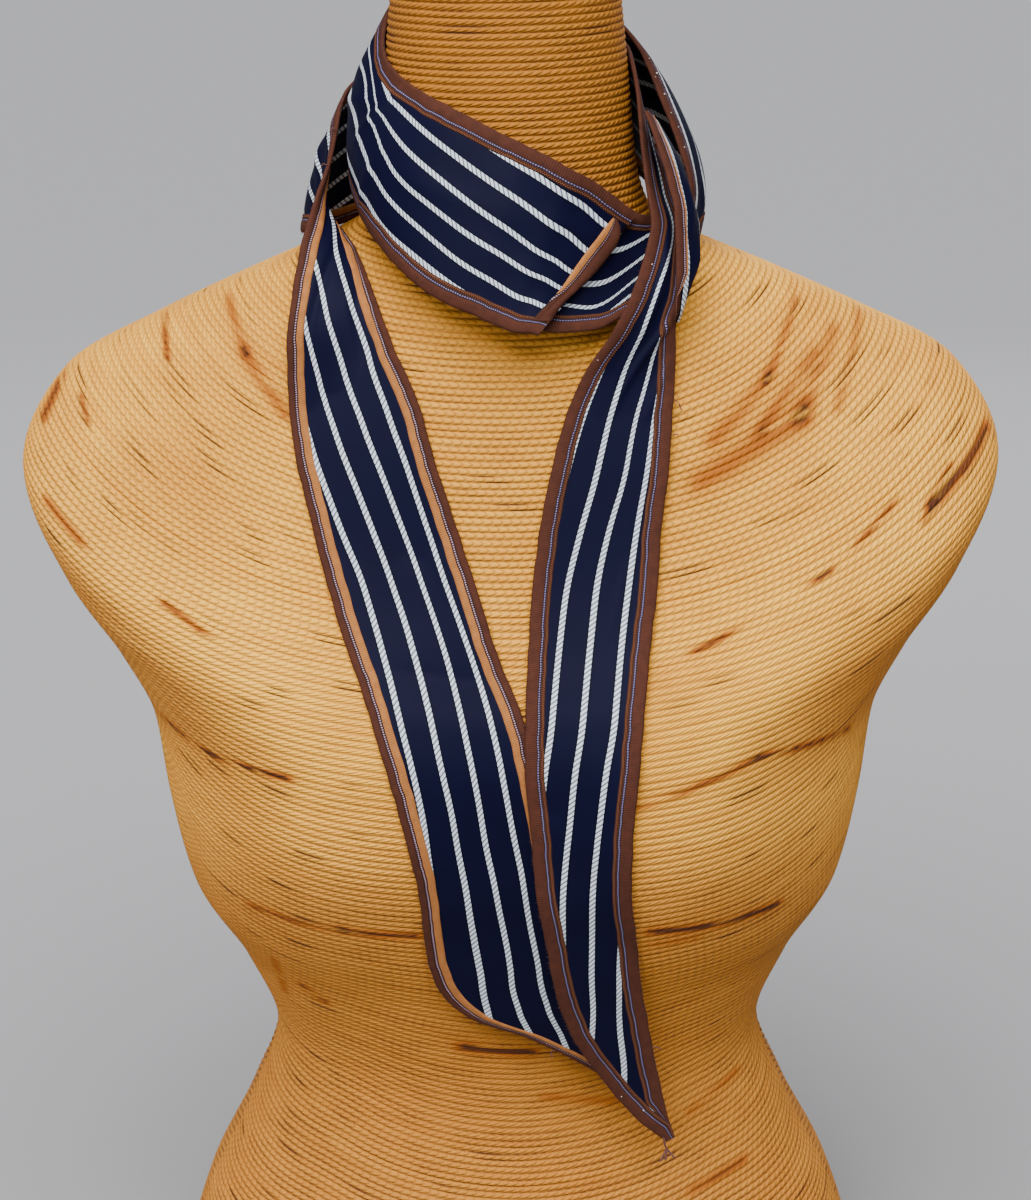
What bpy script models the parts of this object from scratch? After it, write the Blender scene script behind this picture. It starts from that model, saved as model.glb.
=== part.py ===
"""Neck scarf wound once round the neck of a limbless dress form.

Frame: +Z up, the wearer's front faces -Y, origin at the centre of the form's base.
Tables are in millimetres, the model in metres.
"""
import math

import bmesh
import bpy
from mathutils import Vector
from mathutils.bvhtree import BVHTree

MM = 0.001

# Cloth and its bindings
CLOTH_WALL = 1.0
SEAM_GAP = 0.3
REST_GAP = 0.8
LAYER_STEP = 2.2
BINDING = 7.2
LIP = 5.5
LEAST_CLOTH = 1.0
CLOTH_CELLS = 6
BINDING_CELLS = 1
FOLD_CELLS = 2
CELL_LENGTH = 7.5
SLOPE_STEP = 0.05
FINE_STEP = 0.01

# Dress form
FORM_STATIONS_PER_RING = 2
FORM_SEGMENTS = 56
SIDE_DROP_POWER = 1.4
BUST_SPACING = 76
BUST_HEIGHT = 252
BUST_RISE = 24
BUST_WIDTH_SPREAD = 40
BUST_HEIGHT_SPREAD = 42

# The form's rings, which sit on its shoulders like the turns of a winding.
# name, side height, front height, back height, half width, front depth, back depth, fullness
FORM_RINGS = [
    ("top edge", 606, 606, 606, 42, 42, 42, 1.00),
    ("neck rim", 603, 603, 603, 45, 45, 45, 1.00),
    ("neck top", 588, 585, 590, 46, 46, 46, 1.00),
    ("neck middle", 550, 545, 553, 49.5, 49.5, 50, 1.00),
    ("neck lower", 516, 508, 520, 52.5, 54, 55, 1.00),
    ("neck root", 495, 474, 500, 60, 59, 63, 0.96),
    ("collar", 484, 440, 488, 78, 66, 72, 0.90),
    ("yoke", 470, 400, 468, 112, 76, 82, 0.84),
    ("shoulder", 455, 360, 440, 146, 86, 90, 0.78),
    ("cap", 434, 338, 405, 184, 94, 95, 0.75),
    ("shoulder point", 400, 322, 368, 202, 101, 98, 0.73),
    ("armhole", 365, 308, 338, 190, 106, 98, 0.72),
    ("armpit", 330, 292, 308, 169, 108, 96, 0.74),
    ("chest", 294, 270, 278, 153, 106, 92, 0.76),
    ("bust", 256, 240, 244, 148, 102, 88, 0.78),
    ("under bust", 218, 206, 210, 140, 96, 82, 0.80),
    ("ribs", 183, 174, 176, 120, 87, 76, 0.84),
    ("waist", 143, 135, 138, 106, 78, 70, 0.86),
    ("belly", 105, 98, 100, 119, 84, 82, 0.86),
    ("hip", 64, 60, 60, 139, 92, 98, 0.85),
    ("thigh", 28, 26, 26, 150, 98, 108, 0.84),
    ("base rim", 3, 3, 3, 154, 100, 110, 0.84),
    ("base edge", 0, 0, 0, 151, 97, 107, 0.84),
]

# The strip is wound in two lengths, each a table of the sections across it in winding order.
# On the inner length the outer face shows all the way. The outer length passes under it
# at the front and turns over on the shoulder, so its tail shows the inner face.
# stretch, x, y, z of the upper edge, x, y, z of the lower edge, outward belly, layers below
INNER_LENGTH = [
    ("band_front", 51, -43, 502, 11, -82, 461, 1, 0),
    ("band_front", 42, -49, 509, 6, -82, 462, 2, 0),
    ("band_front", 34, -54, 516, 2, -81, 462, 2, 0),
    ("band_front", 24, -59, 522, -4, -79, 464, 2, 0),
    ("band_front", 10, -60, 530, -14, -76, 468, 2, 0),
    ("band_front", -3, -57, 536, -27, -71, 473, 2, 0),
    ("band_front", -18, -50, 543, -41, -61, 482, 3, 0),
    ("band_front", -31, -38, 549, -53, -44, 493, 5, 0),
    ("band_front", -42, -23, 556, -59, -24, 500, 8, 0),
    ("band_front", -46, -8, 563, -62, -6, 507, 9, 0),
    ("loop_inner", -47, 6, 572, -62, 12, 515, 8, 0),
    ("loop_inner", -45, 18, 579, -58, 26, 521, 6, 0),
    ("loop_inner", -38, 31, 584, -48, 42, 526, 3, 0),
    ("loop_inner", -20, 46, 587, -24, 57, 529, 2, 0),
    ("loop_inner", 0, 51, 585, 0, 61, 527, 2, 0),
    ("loop_inner", 24, 46, 578, 28, 56, 522, 2, 0),
    ("loop_inner", 42, 28, 568, 49, 38, 516, 2, 0),
    ("loop_inner", 49, 8, 561, 58, 20, 515, 1, 0),
    ("tail_right", 50, -6, 558, 59, 8, 519, 0, 0),
    ("tail_right", 52, -20, 545, 61, -3, 517, 0, 0),
    ("tail_right", 54, -30, 529, 64, -16, 512, 0, 0),
    ("tail_right", 57, -38, 513, 68, -22, 504, 0, 0),
    ("tail_right", 58, -47, 499, 71, -32, 493, 1, 0),
    ("tail_right", 54, -56, 486, 71, -44, 482, 1, 0),
    ("tail_right", 47, -64, 472, 69, -53, 471, 1, 0),
    ("tail_right", 40, -67, 459, 67, -57, 461, 1, 1),
    ("tail_right", 29, -68, 443, 67, -58, 446, 1, 1),
    ("tail_right", 19, -73, 419, 65, -65, 424, 1, 1),
    ("tail_right", 14, -78, 399, 63, -71, 404, 1, 1),
    ("tail_right", 10, -83, 379, 60, -79, 384, 1, 1),
    ("tail_right", 7, -91, 354, 57, -88, 359, 1, 1),
    ("tail_right", 5, -104, 326, 53, -102, 331, 0, 1),
    ("tail_right", 4, -113, 299, 50, -114, 303, 0, 1),
    ("tail_right", 6, -118, 270, 47, -119, 274, 0, 1),
    ("tail_right", 8, -118, 244, 46, -118, 247, 0, 1),
    ("tail_right", 12, -114, 219, 48, -112, 225, 0, 1),
    ("tail_right", 16, -109, 195, 50, -106, 203, 0, 1),
    ("tail_right", 22, -104, 176, 53, -101, 183, 0, 1),
    ("tail_right", 31, -99, 159, 56, -97, 165, 0, 1),
    ("tail_right", 42, -95, 142, 59, -94, 149, 0, 1),
    ("tail_right", 53, -93, 129, 62, -92, 134, 0, 1),
    ("tail_right", 61, -91, 122, 65, -91, 124, 0, 1),
]
OUTER_LENGTH = [
    ("band_right", 33, -51, 516, 4, -75, 463, 0, 0),
    ("band_right", 43, -44, 508, 20, -73, 460, 0, 0),
    ("band_right", 50, -38, 501, 32, -69, 460, 0, 0),
    ("band_right", 56, -33, 495, 43, -62, 463, 0, 0),
    ("band_right", 63, -31, 491, 55, -53, 466, 0, 0),
    ("band_right", 69, -26, 491, 66, -38, 471, 0, 0),
    ("band_right", 74, -19, 497, 74, -20, 480, 0, 0),
    ("loop_outer", 74, -14, 509, 78, -3, 487, 2, 0),
    ("loop_outer", 71, -7, 523, 79, 8, 489, 3, 0),
    ("loop_outer", 64, 2, 542, 77, 22, 492, 4, 0),
    ("loop_outer", 54, 16, 561, 70, 38, 496, 4, 0),
    ("loop_outer", 42, 36, 571, 54, 55, 506, 4, 0),
    ("loop_outer", 25, 51, 573, 28, 71, 512, 3, 0),
    ("loop_outer", 0, 60, 569, 0, 78, 511, 3, 0),
    ("loop_outer", -27, 58, 561, -32, 76, 504, 3, 0),
    ("loop_outer", -53, 46, 552, -62, 60, 496, 3, 0),
    ("loop_outer", -66, 32, 542, -80, 40, 490, 3, 0),
    ("loop_outer", -68, 19, 537, -86, 24, 487, 3, 0),
    ("tail_left", -69, 8, 531, -84, 14, 486, 1, 0),
    ("tail_left", -72, -4, 518, -79, 7, 485, 0, 0),
    ("tail_left", -77, -17, 506, -70, -4, 486, -1, 0),
    ("tail_left", -82, -31, 491, -61, -18, 485, -2, 0),
    ("tail_left", -86, -45, 471, -56, -34, 476, -3, 0),
    ("tail_left", -88, -54, 452, -51, -45, 466, -2, 0),
    ("tail_left", -88, -56, 432, -45, -54, 450, -1, 0),
    ("tail_left", -85, -62, 410, -37, -64, 431, 0, 0),
    ("tail_left", -79, -73, 385, -30, -72, 406, 0, 0),
    ("tail_left", -70, -88, 353, -18, -86, 370, 0, 0),
    ("tail_left", -58, -105, 322, -7, -98, 337, 0, 0),
    ("tail_left", -48, -116, 292, 4, -108, 309, 0, 0),
    ("tail_left", -41, -118, 266, 10, -113, 283, 0, 0),
    ("tail_left", -36, -115, 240, 16, -113, 256, 0, 0),
    ("tail_left", -34, -109, 214, 22, -109, 228, 0, 0),
    ("tail_left", -29, -104, 196, 27, -104, 206, 0, 0),
    ("tail_left", -16, -100, 183, 32, -99, 188, 0, 0),
    ("tail_left", 4, -96, 173, 37, -95, 172, 0, 0),
    ("tail_left", 22, -93, 161, 41, -92, 160, 0, 0),
    ("tail_left", 38, -91, 150, 44, -90, 150, 0, 0),
]

# The right tail's outer margin is folded forward at the top.
# name, x, y, z of the folded line, x, y, z of the free edge, belly, layers below
RIGHT_FOLD = [
    ("fold_right", 62, -15, 519, 53, -31, 540, 4, 0),
    ("fold_right", 68, -25, 514, 56, -40, 529, 4, 0),
    ("fold_right", 72, -36, 507, 60, -48, 516, 3, 0),
    ("fold_right", 76, -45, 496, 62, -55, 503, 2, 0),
    ("fold_right", 76, -52, 486, 63, -60, 490, 1, 0),
    ("fold_right", 73, -59, 475, 64, -63, 478, 1, 0),
    ("fold_right", 70, -61, 467, 65, -63, 468, 1, 0),
    ("fold_right", 67.8, -58.3, 461, 64.3, -60, 461.3, 0, 0),
]

NAVY = (0.012, 0.013, 0.045, 1.0)
BROWN = (0.095, 0.035, 0.022, 1.0)
TAN = (0.42, 0.20, 0.075, 1.0)
STRAW = (0.58, 0.35, 0.12, 1.0)


def clear_scene():
    for item in list(bpy.data.objects):
        bpy.data.objects.remove(item, do_unlink=True)


def material(name, colour, roughness):
    surface = bpy.data.materials.new(name)
    surface.use_nodes = True
    shader = surface.node_tree.nodes["Principled BSDF"]
    shader.inputs["Base Color"].default_value = colour
    shader.inputs["Roughness"].default_value = roughness
    shader.inputs["Metallic"].default_value = 0.0
    return surface


def smooth_row(table, place, first, last):
    """The table's columns at a place between its rows, on a curve without overshoot."""
    row = int(min(max(math.floor(place), 0), len(table) - 2))
    part = place - row
    values = []
    for column in range(first, last):
        here = table[row][column]
        there = table[row + 1][column]
        before = table[max(row - 1, 0)][column]
        after = table[min(row + 2, len(table) - 1)][column]
        start = even_slope(here - before, there - here)
        end = even_slope(there - here, after - there)
        if row == 0:
            start = there - here
        if row == len(table) - 2:
            end = there - here
        values.append(hermite(part, here, there, start, end))
    return values


def even_slope(left, right):
    if left * right <= 0:
        return 0.0
    return 2 * left * right / (left + right)


def hermite(part, here, there, start, end):
    square = part * part
    cube = square * part
    return (
        (2 * cube - 3 * square + 1) * here
        + (cube - 2 * square + part) * start
        + (3 * square - 2 * cube) * there
        + (cube - square) * end
    )


def form_ring(place):
    side, front, back, half_width, front_depth, back_depth, fullness = smooth_row(
        FORM_RINGS, place, 1, 8
    )
    points = []
    for segment in range(FORM_SEGMENTS):
        angle = 2 * math.pi * segment / FORM_SEGMENTS
        across = math.cos(angle)
        forward = math.sin(angle)
        reach = abs(forward) ** fullness
        drop = abs(forward) ** SIDE_DROP_POWER
        x = half_width * across
        if forward > 0:
            z = side + (front - side) * drop
            y = -front_depth * reach - bust_rise(x, z) * forward
        else:
            z = side + (back - side) * drop
            y = back_depth * reach
        points.append(Vector((x, y, z)) * MM)
    return points


def bust_rise(x, z):
    rise = 0.0
    for centre in (-BUST_SPACING, BUST_SPACING):
        sideways = (x - centre) / BUST_WIDTH_SPREAD
        upward = (z - BUST_HEIGHT) / BUST_HEIGHT_SPREAD
        rise += BUST_RISE * math.exp(-(sideways * sideways + upward * upward) / 2)
    return rise


def make_dress_form(collection, surface):
    stations = (len(FORM_RINGS) - 1) * FORM_STATIONS_PER_RING + 1
    points = []
    for station in range(stations):
        points.extend(form_ring(station / FORM_STATIONS_PER_RING))
    faces = []
    for station in range(stations - 1):
        for segment in range(FORM_SEGMENTS):
            here = station * FORM_SEGMENTS + segment
            beside = station * FORM_SEGMENTS + (segment + 1) % FORM_SEGMENTS
            faces.append((here, here + FORM_SEGMENTS, beside + FORM_SEGMENTS, beside))
    last = (stations - 1) * FORM_SEGMENTS
    faces.append(tuple(range(FORM_SEGMENTS)))
    faces.append(tuple(reversed(range(last, last + FORM_SEGMENTS))))
    mesh = bpy.data.meshes.new("dress_form")
    mesh.from_pydata([tuple(point) for point in points], [], faces)
    orient_outward(mesh)
    for face in mesh.polygons:
        face.use_smooth = len(face.vertices) == 4
    return add_object("dress_form", mesh, collection, surface)


def orient_outward(mesh):
    shape = bmesh.new()
    shape.from_mesh(mesh)
    bmesh.ops.recalc_face_normals(shape, faces=shape.faces)
    shape.to_mesh(mesh)
    shape.free()
    mesh.update()


def add_object(name, mesh, collection, surface):
    piece = bpy.data.objects.new(name, mesh)
    mesh.materials.append(surface)
    collection.objects.link(piece)
    return piece


def form_tree(form):
    mesh = form.data
    corners = [vertex.co.copy() for vertex in mesh.vertices]
    faces = [tuple(face.vertices) for face in mesh.polygons]
    return BVHTree.FromPolygons(corners, faces)


def edge_points(table, place):
    values = smooth_row(table, place, 1, 9)
    upper = Vector(values[0:3])
    lower = Vector(values[3:6])
    return upper, lower, values[6], values[7]


def cloth_point(winding, place, distance, tree):
    """A point on the middle of the cloth, some way in from its upper edge (mm)."""
    table, outer_sign = winding
    upper, lower, belly, layers = edge_points(table, place)
    share = distance / (lower - upper).length
    ahead = edge_points(table, min(place + SLOPE_STEP, len(table) - 1))
    behind = edge_points(table, max(place - SLOPE_STEP, 0))
    along = (ahead[0] + ahead[1]) - (behind[0] + behind[1])
    outward = along.cross(lower - upper).normalized() * outer_sign
    point = upper.lerp(lower, share) + outward * belly * 4 * share * (1 - share)
    return lift_off_form(point * MM, tree, layers)


def lift_off_form(point, tree, layers):
    clear = (CLOTH_WALL / 2 + REST_GAP + layers * LAYER_STEP) * MM
    nearest, normal, _, _ = tree.find_nearest(point)
    height = (point - nearest).dot(normal)
    if height < clear:
        point = nearest + normal * clear
    return point


def width_at(table, place):
    upper, lower, _, _ = edge_points(table, place)
    return (lower - upper).length


def middle_at(table, place):
    upper, lower, _, _ = edge_points(table, place)
    return (upper + lower) / 2


def length_between(table, start, finish):
    steps = max(1, round((finish - start) * 2))
    total = 0.0
    for step in range(steps):
        here = middle_at(table, start + (finish - start) * step / steps)
        there = middle_at(table, start + (finish - start) * (step + 1) / steps)
        total += (there - here).length
    return total


def place_after(table, start, distance):
    """The place along a winding that lies a distance (mm) past another."""
    place = start
    while length_between(table, start, place + FINE_STEP) < distance:
        place += FINE_STEP
    return place


def make_strip(name, winding, tree, ends, lines, cells_across, collection, surface):
    """A wall of cloth from one place along a winding to another.

    lines gives the distances of its two sides from the upper edge, for the width there.
    """
    table = winding[0]
    start, finish = ends
    cells_along = max(1, round(length_between(table, start, finish) / CELL_LENGTH))
    points = []
    for station in range(cells_along + 1):
        place = start + (finish - start) * station / cells_along
        near, far = lines(width_at(table, place))
        for cell in range(cells_across + 1):
            distance = near + (far - near) * cell / cells_across
            points.append(cloth_point(winding, place, distance, tree))
    faces = []
    row = cells_across + 1
    for station in range(cells_along):
        for cell in range(cells_across):
            here = station * row + cell
            faces.append((here, here + 1, here + row + 1, here + row))
    mesh = bpy.data.meshes.new(name)
    mesh.from_pydata([tuple(point) for point in points], [], faces)
    for face in mesh.polygons:
        face.use_smooth = True
    piece = add_object(name, mesh, collection, surface)
    wall = piece.modifiers.new("wall", "SOLIDIFY")
    wall.thickness = CLOTH_WALL * MM
    wall.offset = 0.0
    return piece


def tape_width(width):
    return min(BINDING, (width - SEAM_GAP) / 2)


def upper_tape(width):
    return 0.0, tape_width(width)


def lower_tape(width):
    return width - tape_width(width), width


def cloth_lines(width):
    return BINDING + SEAM_GAP, width - BINDING - SEAM_GAP


def whole_width(width):
    return 0.0, width


def cloth_end(table):
    """How far along a winding there is cloth between the two bindings."""
    place = float(len(table) - 1)
    while width_at(table, place) < 2 * (BINDING + SEAM_GAP) + LEAST_CLOTH:
        place -= FINE_STEP
    return place


def stretches_of(table):
    """Each stretch's name, first place and last place, parted by half a seam gap."""
    starts = [0]
    for row in range(1, len(table)):
        if table[row][0] != table[row - 1][0]:
            starts.append(row)
    starts.append(len(table) - 1)
    found = []
    for start, finish in zip(starts, starts[1:]):
        first = start
        if start > 0:
            first = place_after(table, start, SEAM_GAP)
        found.append((table[start][0], first, finish))
    return found


def make_winding(winding, tree, collection, cloth, tape, lip):
    """The cloth and the two bindings of every stretch of a winding."""
    table = winding[0]
    for stretch, start, finish in stretches_of(table):
        name = "scarf_" + stretch
        ends = (start, finish)
        last_cloth = min(finish, cloth_end(table))
        make_strip(name + "_binding_upper", winding, tree, ends, upper_tape,
                   BINDING_CELLS, collection, tape)
        make_strip(name + "_binding_lower", winding, tree, ends, lower_tape,
                   BINDING_CELLS, collection, tape)
        first_cloth = start
        if lip is not None and start == 0:
            lip_end = place_after(table, 0, LIP)
            make_strip("scarf_lip", winding, tree, (0, lip_end), cloth_lines,
                       CLOTH_CELLS, collection, lip)
            first_cloth = place_after(table, lip_end, SEAM_GAP)
        make_strip(name + "_cloth", winding, tree, (first_cloth, last_cloth), cloth_lines,
                   CLOTH_CELLS, collection, cloth)


def build():
    clear_scene()
    collection = bpy.data.collections.new("neck_scarf_on_dress_form")
    bpy.context.scene.collection.children.link(collection)
    straw = material("wound_cord", STRAW, 0.85)
    navy = material("navy_twill", NAVY, 0.55)
    brown = material("brown_binding", BROWN, 0.8)
    tan = material("tan_binding", TAN, 0.8)

    form = make_dress_form(collection, straw)
    tree = form_tree(form)
    make_winding((INNER_LENGTH, 1), tree, collection, navy, brown, tan)
    make_winding((OUTER_LENGTH, -1), tree, collection, navy, brown, None)
    make_strip("scarf_fold_right", (RIGHT_FOLD, -1), tree, (0, len(RIGHT_FOLD) - 1),
               whole_width, FOLD_CELLS, collection, navy)


build()
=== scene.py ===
"""Striped neck scarf with bound edges, wound round the neck of a limbless dress form.

The frame is in metres, +Z up, with the wearer's front towards -Y. Tables of sections,
and the sizes that belong to them, are in millimetres. Left and right are the photograph's.
"""
import math

import bpy
import numpy as np
from mathutils import Matrix, Vector
from mathutils.bvhtree import BVHTree


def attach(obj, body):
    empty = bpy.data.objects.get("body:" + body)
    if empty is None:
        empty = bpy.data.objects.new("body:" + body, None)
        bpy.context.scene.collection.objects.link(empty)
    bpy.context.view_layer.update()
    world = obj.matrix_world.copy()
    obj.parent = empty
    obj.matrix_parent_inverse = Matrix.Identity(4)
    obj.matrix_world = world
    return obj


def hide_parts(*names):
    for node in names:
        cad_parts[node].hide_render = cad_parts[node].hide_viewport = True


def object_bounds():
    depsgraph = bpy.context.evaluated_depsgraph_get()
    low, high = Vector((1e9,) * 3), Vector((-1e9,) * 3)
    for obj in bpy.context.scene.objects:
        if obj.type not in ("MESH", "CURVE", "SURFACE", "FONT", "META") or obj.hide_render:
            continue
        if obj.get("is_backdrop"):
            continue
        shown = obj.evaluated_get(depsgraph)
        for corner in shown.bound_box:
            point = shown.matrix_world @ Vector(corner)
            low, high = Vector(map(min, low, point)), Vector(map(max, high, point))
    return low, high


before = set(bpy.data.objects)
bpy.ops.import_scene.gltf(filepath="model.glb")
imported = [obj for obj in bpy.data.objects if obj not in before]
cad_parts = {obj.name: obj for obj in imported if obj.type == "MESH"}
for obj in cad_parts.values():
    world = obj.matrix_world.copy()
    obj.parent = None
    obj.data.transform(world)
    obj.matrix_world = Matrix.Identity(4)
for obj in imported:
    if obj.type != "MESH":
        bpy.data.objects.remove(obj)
solid_box = [list(corner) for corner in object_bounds()]
scene = bpy.context.scene
MM = 0.001

# The camera looks a little down on the chest from in front, as in the photograph, on a long
# lens. Its picture leans by less than a degree, with the top to the left.
LENS = 85
CAMERA_DISTANCE = 1.205
CAMERA_TILT = math.radians(17)
CAMERA_LEAN = math.radians(0.65)
aim = Vector((0.0013, 0.0, 0.330))
away = Vector((0.0, -math.cos(CAMERA_TILT), math.sin(CAMERA_TILT)))
camera = bpy.data.objects.new("camera", bpy.data.cameras.new("camera"))
camera.data.lens = LENS
camera.data.sensor_fit = "VERTICAL"
camera.data.sensor_height = 36
camera.data.clip_start = 0.05
turn = (-away).to_track_quat("-Z", "Y").to_matrix() @ Matrix.Rotation(-CAMERA_LEAN, 3, "Z")
camera.matrix_world = Matrix.Translation(aim + away * CAMERA_DISTANCE) @ turn.to_4x4()
scene.collection.objects.link(camera)
scene.camera = camera

# The studio is a grey seamless floor under wide soft daylight from almost overhead, with two
# weak lamps, one in front and one behind, and a dim surround.
FLOOR_REACH = 25.0
FLOOR_DROP = 0.0005
FLOOR_COLOUR = (0.26, 0.26, 0.27)
DAYLIGHT_STRENGTH = 7.0
DAYLIGHT_SPREAD = math.radians(60)
DAYLIGHT_WAY = (0.10, 0.60, -1.0)
SURROUND_STRENGTH = 0.2
LAMPS = [
    # name, place, aimed at, power in watts, size in metres
    ("front", (-0.5, -1.6, 1.3), (0.0, 0.0, 0.36), 9, 1.0),
    ("back", (0.3, 1.7, 1.2), (0.0, 0.0, 0.40), 12, 1.2),
]
floor_mesh = bpy.data.meshes.new("floor")
floor_mesh.from_pydata(
    [(x * FLOOR_REACH, y * FLOOR_REACH, 0) for x, y in [(-1, -1), (1, -1), (1, 1), (-1, 1)]],
    [], [(0, 1, 2, 3)])
floor = bpy.data.objects.new("floor", floor_mesh)
floor.location = (0, 0, -FLOOR_DROP)
scene.collection.objects.link(floor)
floor_finish = bpy.data.materials.new("grey_paper")
floor_finish.use_nodes = True
floor_shader = floor_finish.node_tree.nodes["Principled BSDF"]
floor_shader.inputs["Base Color"].default_value = (*FLOOR_COLOUR, 1)
floor_shader.inputs["Roughness"].default_value = 0.9
floor_mesh.materials.append(floor_finish)
floor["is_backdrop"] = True
for lamp_name, place, target, power, size in LAMPS:
    lamp = bpy.data.objects.new(lamp_name, bpy.data.lights.new(lamp_name, "AREA"))
    lamp.data.energy = power
    lamp.data.size = size
    lamp.location = place
    lamp.rotation_euler = (Vector(target) - Vector(place)).to_track_quat("-Z", "Y").to_euler()
    scene.collection.objects.link(lamp)
daylight = bpy.data.objects.new("daylight", bpy.data.lights.new("daylight", "SUN"))
daylight.data.energy = DAYLIGHT_STRENGTH
daylight.data.angle = DAYLIGHT_SPREAD
daylight.rotation_euler = Vector(DAYLIGHT_WAY).to_track_quat("-Z", "Y").to_euler()
scene.collection.objects.link(daylight)
surround = bpy.data.worlds.new("surround")
surround.use_nodes = True
surround.node_tree.nodes["Background"].inputs["Color"].default_value = (0.83, 0.86, 0.90, 1)
surround.node_tree.nodes["Background"].inputs["Strength"].default_value = SURROUND_STRENGTH
scene.world = surround

# The dress form is a limbless torso shell. Each row is one ring of its surface, which sits on
# the shoulders like a turn of the cord that covers it.
FORM_RINGS = [
    # name, side height, front height, back height, half width, front depth, back depth, fullness
    ("top middle", 606, 606, 606, 0.6, 0.6, 0.6, 1.00),
    ("top edge", 606, 606, 606, 42, 42, 42, 1.00),
    ("neck rim", 603, 603, 603, 45, 45, 45, 1.00),
    ("neck top", 588, 585, 590, 46, 46, 46, 1.00),
    ("neck middle", 550, 545, 553, 49.5, 49.5, 50, 1.00),
    ("neck lower", 516, 508, 520, 52.5, 54, 55, 1.00),
    ("neck root", 495, 474, 500, 60, 59, 63, 0.96),
    ("collar", 484, 440, 488, 78, 66, 72, 0.90),
    ("yoke", 470, 400, 468, 112, 76, 82, 0.84),
    ("shoulder", 455, 360, 440, 146, 86, 90, 0.78),
    ("cap", 434, 338, 405, 184, 94, 95, 0.75),
    ("shoulder point", 400, 322, 368, 202, 101, 98, 0.73),
    ("armhole", 365, 308, 338, 190, 106, 98, 0.72),
    ("armpit", 330, 292, 308, 169, 108, 96, 0.74),
    ("chest", 294, 270, 278, 153, 106, 92, 0.76),
    ("bust", 256, 240, 244, 148, 102, 88, 0.78),
    ("under bust", 218, 206, 210, 140, 96, 82, 0.80),
    ("ribs", 183, 174, 176, 120, 87, 76, 0.84),
    ("waist", 143, 135, 138, 106, 78, 70, 0.86),
    ("belly", 105, 98, 100, 119, 84, 82, 0.86),
    ("hip", 64, 60, 60, 139, 92, 98, 0.85),
    ("thigh", 28, 26, 26, 150, 98, 108, 0.84),
    ("base rim", 3, 3, 3, 154, 100, 110, 0.84),
    ("base edge", 0, 0, 0, 151, 97, 107, 0.84),
]
SIDE_DROP_POWER = 1.4
BUST_SPACING = 76
BUST_HEIGHT = 252
BUST_RISE = 24
BUST_WIDTH_SPREAD = 40
BUST_HEIGHT_SPREAD = 42


def smooth_rows(table, places, first, last):
    """The table's columns at places between its rows, on curves without overshoot."""
    values = np.array([row[first:last] for row in table], float)
    steps = np.diff(values, axis=0)
    slopes = np.empty_like(values)
    slopes[0] = steps[0]
    slopes[-1] = steps[-1]
    before, after = steps[:-1], steps[1:]
    same_way = before * after > 0
    total = np.where(same_way, before + after, 1.0)
    slopes[1:-1] = np.where(same_way, 2 * before * after / total, 0.0)
    row = np.clip(np.floor(places).astype(int), 0, len(table) - 2)
    part = (places - row)[..., None]
    square = part * part
    cube = square * part
    return (
        (2 * cube - 3 * square + 1) * values[row]
        + (cube - 2 * square + part) * slopes[row]
        + (3 * square - 2 * cube) * values[row + 1]
        + (cube - square) * slopes[row + 1]
    )


def form_points(places, angles):
    """Points of the form's surface (mm) at places down its table and angles round it."""
    columns = np.moveaxis(smooth_rows(FORM_RINGS, places, 1, 8), -1, 0)
    side, front, back, half_width, front_depth, back_depth, fullness = columns
    forward = np.sin(angles)
    reach = np.abs(forward) ** fullness
    drop = np.abs(forward) ** SIDE_DROP_POWER
    x = half_width * np.cos(angles)
    z = side + (np.where(forward > 0, front, back) - side) * drop
    rise = 0.0
    for centre in (-BUST_SPACING, BUST_SPACING):
        sideways = (x - centre) / BUST_WIDTH_SPREAD
        upward = (z - BUST_HEIGHT) / BUST_HEIGHT_SPREAD
        rise = rise + BUST_RISE * np.exp(-(sideways ** 2 + upward ** 2) / 2)
    y = np.where(forward > 0, -front_depth * reach - rise * forward, back_depth * reach)
    return np.stack([x, y, z], axis=-1)


def unit(vectors):
    return vectors / np.maximum(np.linalg.norm(vectors, axis=-1, keepdims=True), 1e-9)


def grid_faces(rows, columns):
    corner = np.arange(rows * columns).reshape(rows, columns)
    return np.stack(
        [corner[:-1, :-1], corner[:-1, 1:], corner[1:, 1:], corner[1:, :-1]], axis=-1
    ).reshape(-1, 4)


def make_piece(name, points, faces, finish, uv=None, shades=None):
    """A smooth mesh in metres from points in millimetres, riding on the form's one body."""
    mesh = bpy.data.meshes.new(name)
    flat = np.asarray(points, float).reshape(-1, 3) * MM
    faces = np.asarray(faces)
    mesh.from_pydata(flat.tolist(), [], faces.tolist())
    mesh.polygons.foreach_set("use_smooth", [True] * len(mesh.polygons))
    mesh.materials.append(finish)
    if uv is not None:
        layer = mesh.uv_layers.new(name="lay")
        layer.data.foreach_set("uv", np.asarray(uv, float).reshape(-1, 2)[faces.ravel()].ravel())
    for shade_name, shade in (shades or {}).items():
        attribute = mesh.attributes.new(shade_name, "FLOAT", "POINT")
        attribute.data.foreach_set("value", np.asarray(shade, float).ravel())
    mesh.update()
    piece = bpy.data.objects.new(name, mesh)
    scene.collection.objects.link(piece)
    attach(piece, "root")
    return piece


# A smooth copy of the shell's surface measures how far each point lies from the middle of the
# neck's top, along the surface. The turns of the cord follow lines of equal distance.
SHELL_STEPS_PER_RING = 6
SHELL_SEGMENTS = 128


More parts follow.
